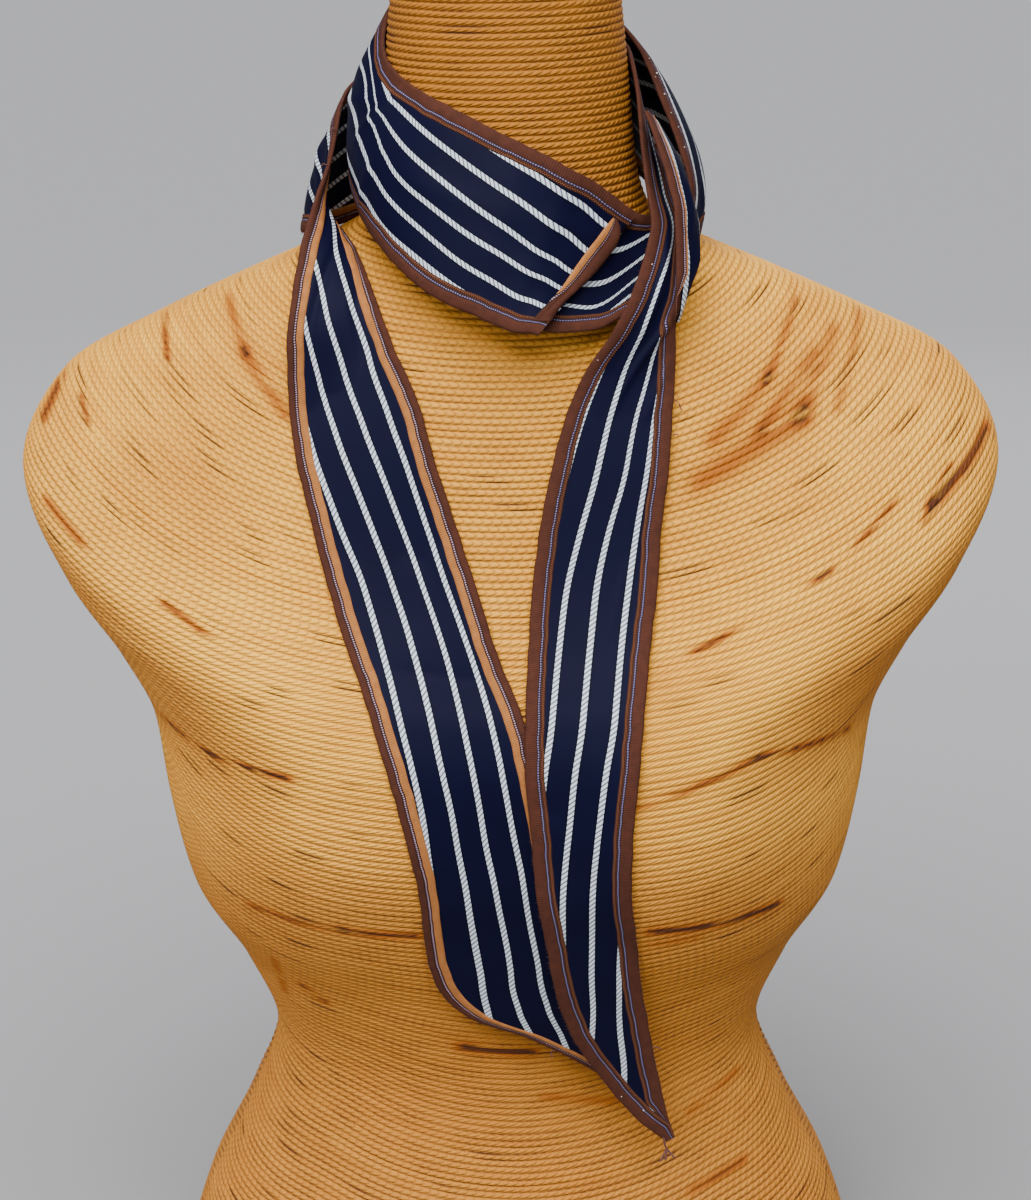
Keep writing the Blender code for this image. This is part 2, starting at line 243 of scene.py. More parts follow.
def surface_distance(points):
    """Distances along a closed grid of points from its first row, by a spreading front."""
    rows, columns = points.shape[:2]
    reached = np.full((rows + 2, columns), np.inf)
    reached[1] = 0.0
    padded = np.concatenate([points[:1], points, points[-1:]])
    ring = [(-1, -1), (-1, 0), (-1, 1), (0, 1), (1, 1), (1, 0), (1, -1), (0, -1)]

    def neighbour(values, step):
        return np.roll(values, (-step[0], -step[1]), axis=(0, 1))[1:-1]

    pairs = []
    for first, second in zip(ring, ring[1:] + ring[:1]):
        a = neighbour(padded, first) - points
        b = neighbour(padded, second) - points
        aa, ab, bb = (a * a).sum(-1), (a * b).sum(-1), (b * b).sum(-1)
        spread = np.maximum(aa * bb - ab * ab, 1e-9)
        pairs.append((first, second, np.sqrt(aa), bb / spread, -ab / spread, aa / spread))
    for _ in range(2 * rows):
        before = reached[1:-1].copy()
        best = before.copy()
        for first, second, reach, q11, q12, q22 in pairs:
            da, db = neighbour(reached, first), neighbour(reached, second)
            best = np.minimum(best, da + reach)
            known = np.isfinite(da) & np.isfinite(db)
            da = np.where(known, da, 0.0)
            db = np.where(known, db, 0.0)
            square = q11 + 2 * q12 + q22
            half = (q11 + q12) * da + (q12 + q22) * db
            rest = q11 * da * da + 2 * q12 * da * db + q22 * db * db - 1
            inside = half * half - square * rest
            value = (half + np.sqrt(np.maximum(inside, 0.0))) / square
            share_a = q11 * (value - da) + q12 * (value - db)
            share_b = q12 * (value - da) + q22 * (value - db)
            good = known & (inside >= 0) & (share_a > 0) & (share_b > 0)
            best = np.where(good, np.minimum(best, value), best)
        reached[1:-1] = best
        if np.nanmax(np.where(np.isfinite(best), np.abs(best - before), 0)) < 1e-4:
            if np.isfinite(best).all():
                break
    return reached[1:-1]


shell_rows = (len(FORM_RINGS) - 1) * SHELL_STEPS_PER_RING + 1
shell_places = np.linspace(0, len(FORM_RINGS) - 1, shell_rows)
shell_angles = 2 * np.pi * np.arange(SHELL_SEGMENTS) / SHELL_SEGMENTS
shell = form_points(*np.meshgrid(shell_places, shell_angles, indexing="ij"))
shell_distance = surface_distance(shell)
closed_shell = np.concatenate([shell, shell[:, :1]], axis=1)
form_tree = BVHTree.FromPolygons(
    (closed_shell.reshape(-1, 3)).tolist(), grid_faces(*closed_shell.shape[:2]).tolist())

# The cord is a two-ply straw-coloured twist of 3 mm, glued in one spiral of close turns from
# the middle of the neck's top down to the base. Its tops lie on the form's surface.
CORD_PITCH = 2.8
CORD_COLUMNS = 200
CORD_PROFILE = [(0.0, -0.75), (0.2, -0.2), (0.5, 0.0), (0.8, -0.2)]
CORD_WANDER = 0.16
CORD_PIECES = ["neck_cord", "shoulder_cord", "chest_cord", "waist_cord", "hip_cord"]
CORD_SHARES = [0.0, 0.22, 0.43, 0.62, 0.81, 1.0]
FULL_TURN_BACK = np.pi / 2
STRAND_LENGTH = 0.0038
STRAND_SLANT = 1.45
# Unlit and lit tones of the cord: the lit ones are a painted highlight where it faces up.
UNLIT_CORD = [(0.40, 0.135, 0.010, 1), (0.70, 0.30, 0.040, 1)]
LIT_CORD = [(0.76, 0.30, 0.022, 1), (1.0, 0.56, 0.060, 1)]
SHADED_CORD = (0.31, 0.110, 0.006, 1)
PATCHY_CORD = (0.50, 0.17, 0.015, 1)
STRAND_SHADE = (0.26, 0.078, 0.006, 1)
GAP_SHADE = (0.11, 0.030, 0.003, 1)
STAIN_TONES = [(0.33, 0.088, 0.004, 1), (0.070, 0.016, 0.002, 1)]
GAP_SHADOW_DASH = (0.05, 0.010, 0.002, 1)
CORD_STAINS = [
    # part of the form, x and z of one end, x and z of the other, half width, strength
    ("left neck root", -114, 464, -106, 447, 2.2, 0.6),
    ("left neck root low", -106, 446, -89, 425, 3.0, 0.6),
    ("left shoulder", -141, 456, -138, 442, 1.4, 0.9),
    ("left cap", -184, 432, -191, 417, 2.0, 0.9),
    ("left cap low", -174, 428, -170, 418, 1.3, 0.7),
    ("left arm edge", -188, 389, -171, 374, 2.0, 0.7),
    ("right neck root", 116, 461, 103, 435, 2.6, 0.55),
    ("right neck root low", 103, 435, 80, 414, 4.0, 0.55),
    ("right chest", 131, 450, 116, 421, 4.0, 0.5),
    ("right chest low", 116, 421, 75, 399, 6.0, 0.6),
    ("right chest outer", 143, 454, 131, 423, 2.6, 0.45),
    ("right chest middle", 122, 444, 99, 417, 3.0, 0.5),
    ("right cap", 194, 409, 169, 386, 3.2, 0.9),
    ("right cap high", 176, 398, 165, 380, 2.0, 0.7),
    ("right arm edge", 153, 388, 137, 373, 1.6, 0.8),
    ("right breast dash", 127, 365, 118, 360, 1.2, 1.0),
    ("right breast line", 87, 344, 69, 336, 1.4, 0.9),
    ("left bust", -146, 299, -125, 291, 1.8, 1.0),
    ("left bust inner", -125, 291, -88, 290, 1.7, 1.0),
    ("left bust high", -140, 356, -120, 343, 1.4, 0.8),
    ("right bust", 49, 281, 97, 295, 1.8, 0.8),
    ("right bust outer", 97, 295, 137, 293, 1.8, 1.0),
    ("left under bust", -109, 225, -70, 225, 2.0, 0.8),
    ("left under bust inner", -70, 225, -38, 223, 2.2, 0.9),
    ("right under bust", 54, 224, 107, 223, 2.4, 1.0),
    ("right under bust low", 54, 217, 74, 218, 2.0, 0.55),
    ("waist blotch", -23, 162, 6, 159, 3.2, 1.0),
    ("waist left", -90, 184, -80, 178, 2.2, 0.9),
    ("waist left high", -101, 196, -98, 175, 2.0, 0.7),
    ("waist right", 94, 129, 73, 120, 2.2, 0.65),
    ("waist under tail", 11, 136, 43, 131, 2.2, 0.6),
    ("hip right", 97, 94, 73, 88, 2.2, 0.8),
]


def cord_turns():
    """Places, angles, turn numbers and profile heights of every line drawn along the cord."""
    columns = np.arange(CORD_COLUMNS + 1)
    angles = 2 * np.pi * columns / CORD_COLUMNS - FULL_TURN_BACK
    source = np.mod(angles, 2 * np.pi) / (2 * np.pi) * SHELL_SEGMENTS
    left = np.floor(source).astype(int) % SHELL_SEGMENTS
    part = source - np.floor(source)
    distance = (
        shell_distance[:, left] * (1 - part)
        + shell_distance[:, (left + 1) % SHELL_SEGMENTS] * part
    )
    distance = np.maximum.accumulate(distance, axis=0)
    turns = int(distance[-1].max() / CORD_PITCH) + 1
    lines = turns * len(CORD_PROFILE) + 1
    share = np.array([row[0] for row in CORD_PROFILE])
    height = np.array([row[1] for row in CORD_PROFILE])
    line = np.arange(lines)
    number = line // len(CORD_PROFILE) + share[line % len(CORD_PROFILE)]
    rng = np.random.default_rng(7)
    wander = np.cumsum(rng.normal(0, 1, (turns + 2, CORD_COLUMNS + 1)), axis=1)
    wander -= np.linspace(0, 1, CORD_COLUMNS + 1) * wander[:, -1:]
    wander *= CORD_WANDER / np.abs(wander).max(axis=1, keepdims=True)
    level = (number[:, None] + columns / CORD_COLUMNS) * CORD_PITCH
    level = level + wander[line // len(CORD_PROFILE)]
    places = np.empty_like(level)
    for column in columns:
        places[:, column] = np.interp(level[:, column], distance[:, column], shell_places)
    inside = level <= distance[-1]
    heights = np.broadcast_to(height[line % len(CORD_PROFILE)][:, None], level.shape)
    return places, np.broadcast_to(angles, level.shape), number, heights, inside


def surface_normals(places, angles):
    step = 0.02
    down = form_points(places + step, angles) - form_points(places - step, angles)
    round_form = form_points(places, angles + step) - form_points(places, angles - step)
    return unit(np.cross(round_form, down))


def stain_strength(points):
    """How stained each point is: the table's streaks, on the front of the form."""
    strength = np.zeros(points.shape[:-1])
    for _, x1, z1, x2, z2, spread, amount in CORD_STAINS:
        start, end = np.array([x1, z1]), np.array([x2, z2])
        flat = points[..., [0, 2]] - start
        share = np.clip(flat @ (end - start) / ((end - start) @ (end - start)), 0, 1)
        gap = np.linalg.norm(flat - share[..., None] * (end - start), axis=-1)
        strength += amount * np.exp(-(gap / spread) ** 2) * (points[..., 1] < 0)
    return np.minimum(strength, 1.0)


def new_finish(name, colour, roughness):
    finish = bpy.data.materials.new(name)
    finish.use_nodes = True
    shader = finish.node_tree.nodes["Principled BSDF"]
    shader.inputs["Base Color"].default_value = (*colour, 1)
    shader.inputs["Roughness"].default_value = roughness
    return finish, finish.node_tree, shader


def add_node(tree, kind, inputs, **settings):
    """A node with its settings, whose inputs are numbers, colours or other nodes' outputs."""
    node = tree.nodes.new(kind)
    for setting, value in settings.items():
        setattr(node, setting, value)
    for socket, value in inputs.items():
        if isinstance(value, bpy.types.NodeSocket):
            tree.links.new(value, node.inputs[socket])
        else:
            node.inputs[socket].default_value = value
    return node


def calculate(tree, operation, first, second=0.0, third=0.0):
    inputs = {0: first, 1: second, 2: third}
    return add_node(tree, "ShaderNodeMath", inputs, operation=operation).outputs[0]


def blend_colour(tree, amount, first, second):
    inputs = {"Factor": amount, 6: first, 7: second}
    return add_node(tree, "ShaderNodeMix", inputs, data_type="RGBA").outputs[2]


def fade(tree, value, low, high, bottom=0.0, top=1.0):
    """A value's climb from low to high, turned into one from bottom to top."""
    inputs = {0: value, 1: low, 2: high, 3: bottom, 4: top}
    return add_node(tree, "ShaderNodeMapRange", inputs).outputs[0]


def noise(tree, scale, detail=2.0, place=None):
    """Noise over the object's own coordinates, or over another place."""
    if place is None:
        place = add_node(tree, "ShaderNodeTexCoord", {}).outputs["Object"]
    inputs = {"Vector": place, "Scale": scale, "Detail": detail}
    return add_node(tree, "ShaderNodeTexNoise", inputs).outputs[0]


def lay_parts(tree):
    """The piece's own map: metres along it, and the place across it."""
    lay = add_node(tree, "ShaderNodeUVMap", {}, uv_map="lay").outputs[0]
    parts = add_node(tree, "ShaderNodeSeparateXYZ", {0: lay})
    return parts.outputs[0], parts.outputs[1]


def off_from(tree, value, centre):
    return calculate(tree, "ABSOLUTE", calculate(tree, "SUBTRACT", value, centre))


def finish_surface(tree, shader, tone, height, distance, strength, shine):
    """Joins the colour, the relief and the shine to the shader."""
    tree.links.new(tone, shader.inputs["Base Color"])
    relief = {"Height": height, "Distance": distance, "Strength": strength}
    bump = add_node(tree, "ShaderNodeBump", relief)
    tree.links.new(bump.outputs[0], shader.inputs["Normal"])
    shader.inputs["Specular IOR Level"].default_value = shine


def cord_finish():
    finish, tree, shader = new_finish("straw_cord", (0.55, 0.33, 0.12), 0.8)
    along, number = lay_parts(tree)
    across = calculate(tree, "FRACT", number)
    crest = calculate(tree, "MULTIPLY_ADD", off_from(tree, across, 0.5), -2.0, 1.0)
    twist = calculate(tree, "MULTIPLY_ADD", along, 1 / STRAND_LENGTH,
                      calculate(tree, "MULTIPLY", across, -STRAND_SLANT))
    strand = calculate(tree, "SINE", calculate(tree, "MULTIPLY", twist, math.pi))
    strand = calculate(tree, "POWER", calculate(tree, "ABSOLUTE", strand), 0.75)
    turn_number = calculate(tree, "FLOOR", number)

    def noise_on_turn(stretch, row_step, offset, detail):
        """Noise that runs along each turn and changes from turn to turn."""
        spot = add_node(tree, "ShaderNodeCombineXYZ", {
            0: calculate(tree, "MULTIPLY", along, stretch),
            1: calculate(tree, "MULTIPLY", turn_number, row_step), 2: offset})
        return noise(tree, 1.0, detail, spot.outputs[0])

    def painted(name):
        return add_node(tree, "ShaderNodeAttribute", {}, attribute_name=name).outputs["Fac"]

    swell = calculate(tree, "SINE", calculate(
        tree, "MULTIPLY", along, 2 * math.pi / STRAND_LENGTH))
    near_gap = calculate(tree, "MULTIPLY_ADD", swell, 0.12, crest)
    streak = noise_on_turn(22.0, 1.7, 0.0, 3.0)
    gap_change = noise_on_turn(55.0, 3.1, 2.0, 2.0)
    dash = fade(tree, noise_on_turn(26.0, 0.83, 4.0, 1.0), 0.64, 0.71)
    patch = fade(tree, noise(tree, 14.0, 3.0), 0.45, 0.75, 0.0, 0.5)
    # Painted highlight where the cord faces up, and painted shade on the neck and below the bust.
    highlight_share = painted("painted_highlight")
    deep = blend_colour(tree, streak, *UNLIT_CORD)
    pale = blend_colour(tree, streak, *LIT_CORD)
    tone = blend_colour(tree, highlight_share, deep, pale)
    tone = blend_colour(tree, calculate(tree, "MULTIPLY", painted("shaded"), 0.75), tone,
                        SHADED_CORD)
    tone = blend_colour(tree, patch, tone, PATCHY_CORD)
    # Painted shade between the strands of the twist.
    strand_shade_share = fade(tree, strand, 0.1, 0.8, 0.42, 0.0)
    tone = blend_colour(tree, strand_shade_share, tone, STRAND_SHADE)
    # Painted shade in the gaps between the turns, weaker under the painted highlight.
    gap_shade_share = calculate(tree, "MULTIPLY", fade(tree, near_gap, 0.03, 0.42, 1.0, 0.0),
                         fade(tree, gap_change, 0.35, 0.6, 0.15, 0.9))
    gap_shade_share = calculate(tree, "MULTIPLY", gap_shade_share, fade(tree, highlight_share, 0.0, 1.0, 1.0, 0.45))
    tone = blend_colour(tree, gap_shade_share, tone, GAP_SHADE)
    stain = painted("stain")
    stain_tone = blend_colour(tree, fade(tree, stain, 0.62, 0.92), *STAIN_TONES)
    stained = calculate(tree, "MULTIPLY", fade(tree, stain, 0.05, 0.6),
                        fade(tree, streak, 0.34, 0.47))
    tone = blend_colour(tree, stained, tone, stain_tone)
    # Dashes of deep painted shade along the gaps between the turns.
    gap_dash_shade = calculate(tree, "MULTIPLY", dash, fade(tree, crest, 0.15, 0.6, 1.0, 0.0))
    tone = blend_colour(tree, gap_dash_shade, tone, GAP_SHADOW_DASH)
    groove = calculate(tree, "MULTIPLY", fade(tree, crest, 0.0, 0.5), strand)
    finish_surface(tree, shader, tone, groove, 0.0006, 0.75, 0.25)
    return finish


straw_cord = cord_finish()
places, angles, numbers, heights, inside = cord_turns()
cord_normals = surface_normals(places, angles)
cord_points = form_points(places, angles) + cord_normals * heights[..., None]
# The cord's colour is painted lighter where the shoulders, the chest and the bust face up to the
# light, a painted highlight, and painted darker on the neck and below the bust, a painted shade.
# Each pair of heights or of distances from the middle is where such a change starts and where
# it ends.
NECK_LIGHT_RAMP = (474, 506)
BUST_LIGHT_RAMP = (200, 250)
SHOULDER_LIGHT_RAMP = (330, 420)
CENTRE_LIGHT_RAMP = (95, 35)
ARM_LIGHT_RAMP = (165, 200)


def ramp(values, low, high):
    return np.clip((values - low) / (high - low), 0, 1)


painted_highlight = (ramp(cord_normals[..., 2], -0.35, 0.20) * ramp(cord_points[..., 2], *BUST_LIGHT_RAMP)
            * (1 - ramp(cord_points[..., 2], *NECK_LIGHT_RAMP))
            * (1 - 0.2 * ramp(cord_points[..., 2], *SHOULDER_LIGHT_RAMP))
            * (1 - 0.45 * ramp(abs(cord_points[..., 0]), *CENTRE_LIGHT_RAMP))
            * (1 - 0.4 * ramp(abs(cord_points[..., 0]), *ARM_LIGHT_RAMP)))
shaded = ramp(cord_points[..., 2], *NECK_LIGHT_RAMP) + 0.3 * (1 - ramp(cord_points[..., 2], *BUST_LIGHT_RAMP))
steps = np.linalg.norm(np.diff(cord_points, axis=1), axis=-1) * MM
lengths = np.concatenate([np.zeros((len(steps), 1)), np.cumsum(steps, axis=1)], axis=1)
line_count = len(numbers)
per_turn = len(CORD_PROFILE)
turn_count = (line_count - 1) // per_turn
cuts = [round(share * turn_count) * per_turn for share in CORD_SHARES]
for name, first, last in zip(CORD_PIECES, cuts, cuts[1:]):
    rows = slice(first, last + 1)
    uv = np.stack([lengths[rows], np.broadcast_to(
        numbers[rows, None], lengths[rows].shape)], axis=-1)
    faces = grid_faces(last + 1 - first, CORD_COLUMNS + 1)
    shown = inside[rows].ravel()
    faces = faces[shown[faces].any(axis=1)]
    piece = make_piece(name, cord_points[rows], faces, straw_cord, uv,
                       shades={"stain": stain_strength(cord_points[rows]),
                               "painted_highlight": painted_highlight[rows], "shaded": shaded[rows]})
    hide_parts("dress_form")

# Under the form is a plain base board of stained wood. It closes the open foot of the shell,
# and the form stands on it.
BOARD_THICKNESS = 3.0
BOARD_BOTTOM = 0.4
BOARD_INSET = 2.0
BOARD_TONES = [(0.16, 0.08, 0.035, 1), (0.30, 0.17, 0.08, 1)]
board_angles = 2 * np.pi * np.arange(CORD_COLUMNS) / CORD_COLUMNS
board_edge = form_points(np.full(CORD_COLUMNS, len(FORM_RINGS) - 1.0), board_angles)
board_edge *= 1 - BOARD_INSET / 100
board_points = [(0, 0, BOARD_BOTTOM), (0, 0, BOARD_THICKNESS)]
for height in (BOARD_BOTTOM, BOARD_THICKNESS):
    board_edge[:, 2] = height
    board_points += board_edge.tolist()
low_edge = 2 + np.arange(CORD_COLUMNS)
high_edge = low_edge + CORD_COLUMNS
low_next, high_next = np.roll(low_edge, -1), np.roll(high_edge, -1)
under, over = np.zeros_like(low_edge), np.ones_like(low_edge)
board_faces = np.concatenate([np.stack(corners, axis=-1) for corners in [
    (under, low_next, low_edge), (over, high_edge, high_next),
    (low_edge, low_next, high_next), (low_edge, high_next, high_edge)]])
board_finish, board_tree, board_shader = new_finish("board", (0.23, 0.13, 0.06), 0.7)
board_place = add_node(board_tree, "ShaderNodeMapping", {
    "Vector": add_node(board_tree, "ShaderNodeTexCoord", {}).outputs["Object"],
    "Scale": (8, 90, 90)}).outputs[0]
board_grain = noise(board_tree, 1.0, 4.0, board_place)
board_tree.links.new(blend_colour(board_tree, board_grain, *BOARD_TONES),
                     board_shader.inputs["Base Color"])
board = make_piece("base_board", board_points, board_faces, board_finish)

# The scarf is one narrow strip of twill with bound edges, wound round the neck and looped twice
# behind it. It is laid in two lengths, by sections across it in the order of the winding. The
# outer one passes under the inner, turns over on the left shoulder and shows its inner face.
INNER_LENGTH = {
    # stretch: x, y, z of the upper edge, x, y, z of the lower edge, outward belly, layers below
    "band_front": [
        (51, -43, 502, 11, -82, 461, 1, 0), (42, -49, 509, 6, -82, 462, 2, 0),
        (34, -54, 516, 2, -81, 462, 2, 0), (24, -59, 522, -4, -79, 464, 2, 0),
        (10, -60, 530, -14, -76, 468, 2, 0), (-3, -57, 536, -27, -71, 473, 2, 0),
        (-18, -50, 543, -41, -61, 482, 3, 0), (-31, -38, 549, -53, -44, 493, 5, 0),
        (-42, -23, 556, -59, -24, 500, 8, 0), (-46, -8, 563, -62, -6, 507, 9, 0),
    ],
    "loop_inner": [
        (-47, 6, 572, -62, 12, 515, 8, 0), (-45, 18, 579, -58, 26, 521, 6, 0),
        (-38, 31, 584, -48, 42, 526, 3, 0), (-20, 46, 587, -24, 57, 529, 2, 0),
        (0, 51, 585, 0, 61, 527, 2, 0), (24, 46, 578, 28, 56, 522, 2, 0),
        (42, 28, 568, 50, 38, 509, 2, 0), (49, 8, 561, 58, 20, 504, 1, 0),
    ],
    "tail_right": [
        (50, -6, 558, 59, 8, 519, 0, 0), (52, -20, 545, 61, -3, 517, 0, 0),
        (52.8, -30, 529, 64, -16, 512, 0, 0), (54.4, -38, 513, 67, -22, 504, 0, 0),
        (56, -47, 499, 70, -32, 493, 1, 0), (52.5, -56, 486, 70, -44, 482, 1, 0),
        (47, -64, 472, 69, -53, 471, 1, 0), (40, -67, 459, 65.8, -57, 461, 1, 1),
        (29, -68, 443, 65.6, -58, 446, 1, 1), (19, -73, 419, 64, -65, 424, 1, 1),
        (14, -78, 399, 62, -71, 404, 1, 1), (10, -83, 379, 59.3, -79, 384, 1, 1),
        (7, -91, 354, 57, -88, 359, 1, 1), (5, -104, 326, 53, -102, 331, 0, 1),
        (4, -113, 299, 50, -114, 303, 0, 1), (6, -118, 270, 47, -119, 274, 0, 1),
        (8, -118, 244, 46, -118, 247, 0, 1), (12, -114, 219, 48, -112, 225, 0, 1),
        (16, -109, 195, 50, -106, 203, 0, 1), (22, -104, 176, 53, -101, 183, 0, 1),
        (31, -99, 159, 56, -97, 165, 0, 1), (42, -95, 142, 59, -94, 149, 0, 1),
        (53, -93, 129, 62, -92, 134, 0, 1), (61, -91, 122, 65, -91, 124, 0, 1),
    ],
}
OUTER_LENGTH = {
    "band_right": [
        (33, -51, 516, 4, -75, 463, 0, 0), (43, -44, 508, 20, -73, 460, 0, 0),
        (50, -38, 501, 32, -69, 460, 0, 0), (57, -31, 499, 43, -62, 463, 0, 0),
        (64, -26, 500, 55, -53, 466, 0, 0), (69, -22, 500, 66, -38, 471, 0, 0),
        (73, -18, 503, 74, -20, 480, 0, 0),
    ],
    "loop_outer": [
        (72.5, -13, 511, 78, -3, 487, 2, 0), (68.5, -7, 524, 79, 8, 489, 5, 0),
        (61.5, 2, 542, 78, 22, 492, 8, 0), (53, 16, 561, 72, 38, 496, 9, 0),
        (42, 36, 571, 55, 56, 506, 7, 0), (25, 51, 573, 28, 71, 512, 4, 0),
        (0, 60, 569, 0, 78, 511, 3, 0), (-27, 58, 561, -33, 76, 496, 3, 0),
        (-53, 46, 552, -63, 60, 484, 3, 0), (-66, 32, 542, -80, 40, 482, 3, 0),
        (-68, 19, 537, -86, 24, 484, 3, 0),
    ],
    "tail_left": [
        (-69, 8, 531, -84, 14, 486, 1, 0), (-72, -4, 518, -77, 9, 487, 0, 0),
        (-77, -17, 506, -69, -2, 489, -1, 0), (-82, -31, 491, -61, -18, 485, -2, 0),
        (-86, -45, 471, -55, -34, 476, -3, 0), (-88, -54, 452, -51, -45, 466, -2, 0),
        (-88, -56, 432, -44, -54, 450, -1, 0), (-85, -62, 410, -35.5, -64, 431, 0, 0),
        (-79, -73, 385, -28.3, -72, 406, 0, 0), (-70, -88, 353, -16.3, -86, 370, 0, 0),
        (-58.5, -105, 322, -5.5, -98, 337, 0, 0), (-49, -116, 292, 5.5, -108, 309, 0, 0),
        (-42.6, -118, 266, 11, -113, 283, 0, 0), (-38, -115, 240, 16, -113, 256, 0, 0),
        (-36, -109, 214, 22, -109, 228, 0, 0), (-30.8, -104, 196, 27, -104, 206, 0, 0),
        (-18.5, -100, 182.5, 32, -99, 188, 0, 0), (2, -96, 173, 37, -95, 172, 0, 0),
        (22, -93, 161, 41, -92, 160, 0, 0), (38, -91, 150, 44, -90, 150, 0, 0),
    ],
}

# The right tail's outer margin is folded forward at the top. It is the same twill with one bound
# edge, and it lies on the tail.
RIGHT_FOLD = {
    # stretch: x, y, z of the folded line, x, y, z of the free edge, belly, layers below
    "fold_right": [
        (62, -15, 519, 54, -31, 540, 4, 0), (68, -25, 514, 58, -40, 529, 4, 0),
        (72, -36, 507, 62, -48, 516, 3, 0), (75, -45, 496, 64.5, -55, 503, 2, 0),
        (75, -52, 486, 65, -60, 490, 1, 0), (71, -59, 475, 65, -63, 478, 1, 0),
        (68, -61, 467, 65, -63, 468, 1, 0), (66.5, -58.3, 461, 64.3, -60, 461.3, 0, 0),
    ],
}

# The cloth is creased where it is squeezed or pulled: near the band's end, at the bends beside
# the neck, and lightly down the tails.
INNER_CREASES = [
    # what, distance along, distance from the upper edge, degrees from the run, half length,
    # half width, height
    ("band's near end", 12, 20, 8, 16, 3.5, 0.9),
    ("band's near end low", 16, 44, -6, 18, 3.0, 0.8),
    ("band's middle", 60, 30, 4, 28, 5.0, 0.7),
    ("bend upper", 110, 18, 62, 16, 2.2, 1.5),
    ("bend lower", 104, 42, 70, 16, 2.6, 1.2),
    ("beside the neck", 136, 26, 30, 22, 3.0, 1.4),
    ("left nape", 190, 30, 12, 26, 4.0, 1.0),
    ("nape", 232, 20, -10, 26, 4.0, 1.0),
    ("right nape", 275, 36, 14, 24, 4.0, 1.0),
    ("under the fold", 386, 9, 4, 22, 2.2, 1.0),
    ("tail's head", 418, 12, 6, 24, 2.0, 1.2),
    ("between the stripes", 432, 23, -7, 26, 1.7, 1.8),
    ("beside the binding", 440, 36, -3, 26, 2.2, 1.2),
    ("tail's chest", 505, 20, 10, 30, 4.0, 0.9),
    ("tail's chest right", 540, 36, -12, 26, 3.6, 0.8),
    ("tail's middle", 600, 16, 55, 18, 4.0, 0.7),
    ("tail's middle right", 642, 30, 60, 16, 4.0, 0.7),
    ("tail's end", 700, 20, 20, 22, 4.0, 0.7),
]
OUTER_CREASES = [
    ("under the band", 34, 20, 10, 14, 3.0, 0.8),
    ("right shoulder", 96, 22, 20, 18, 3.2, 1.2),
    ("right back", 150, 34, -8, 28, 4.0, 1.2),
    ("nape", 205, 22, 10, 30, 4.5, 1.2),
    ("left back", 262, 38, -12, 26, 4.0, 1.2),
    ("left shoulder", 315, 20, 14, 20, 3.0, 1.2),
    ("turn high", 352, 10, -4, 16, 2.0, 1.5),
    ("turn middle", 362, 19, 3, 20, 2.0, 1.5),
    ("turn low", 372, 27, 7, 20, 1.8, 1.2),
    ("tail's head left", 400, 12, -8, 24, 2.6, 1.2),
    ("tail's head right", 412, 30, 8, 24, 2.6, 1.0),
    ("tail's chest", 462, 20, 8, 30, 3.5, 0.7),
    ("tail's chest low", 500, 36, 12, 24, 3.5, 0.6),
    ("cross high", 560, 22, 72, 16, 4.0, 0.8),
    ("cross middle", 584, 20, 78, 18, 4.5, 0.9),
    ("cross low", 612, 18, 70, 16, 4.0, 0.7),
    ("tail's end", 668, 12, 24, 22, 3.6, 0.7),
]
FOLD_CREASES = [
    ("flap", 30, 6, 4, 20, 2.0, 0.5),
]
CLOTH_WALL = 1.0
REST_GAP = 0.8
LAYER_STEP = 2.2
STATION = 1.6
ACROSS = 41
RIPPLE_HEIGHT = 0.18
CALM_EDGE = 6


def crease_heights(creases, along, distance):
    """How far the creases raise the cloth at distances along it and across it."""
    rise = (RIPPLE_HEIGHT * np.sin(along / 7.3 + distance / 9.0)
            * np.sin(distance / 6.1 - along / 23.0))
    for _, start, side, degrees, half_length, half_width, height in creases:
        turn_angle = math.radians(degrees)
        run = (along - start) * math.cos(turn_angle) + (distance - side) * math.sin(turn_angle)
        off = (distance - side) * math.cos(turn_angle) - (along - start) * math.sin(turn_angle)
        rise = rise + height * np.exp(-(run / half_length) ** 2 - (off / half_width) ** 2)
    return rise


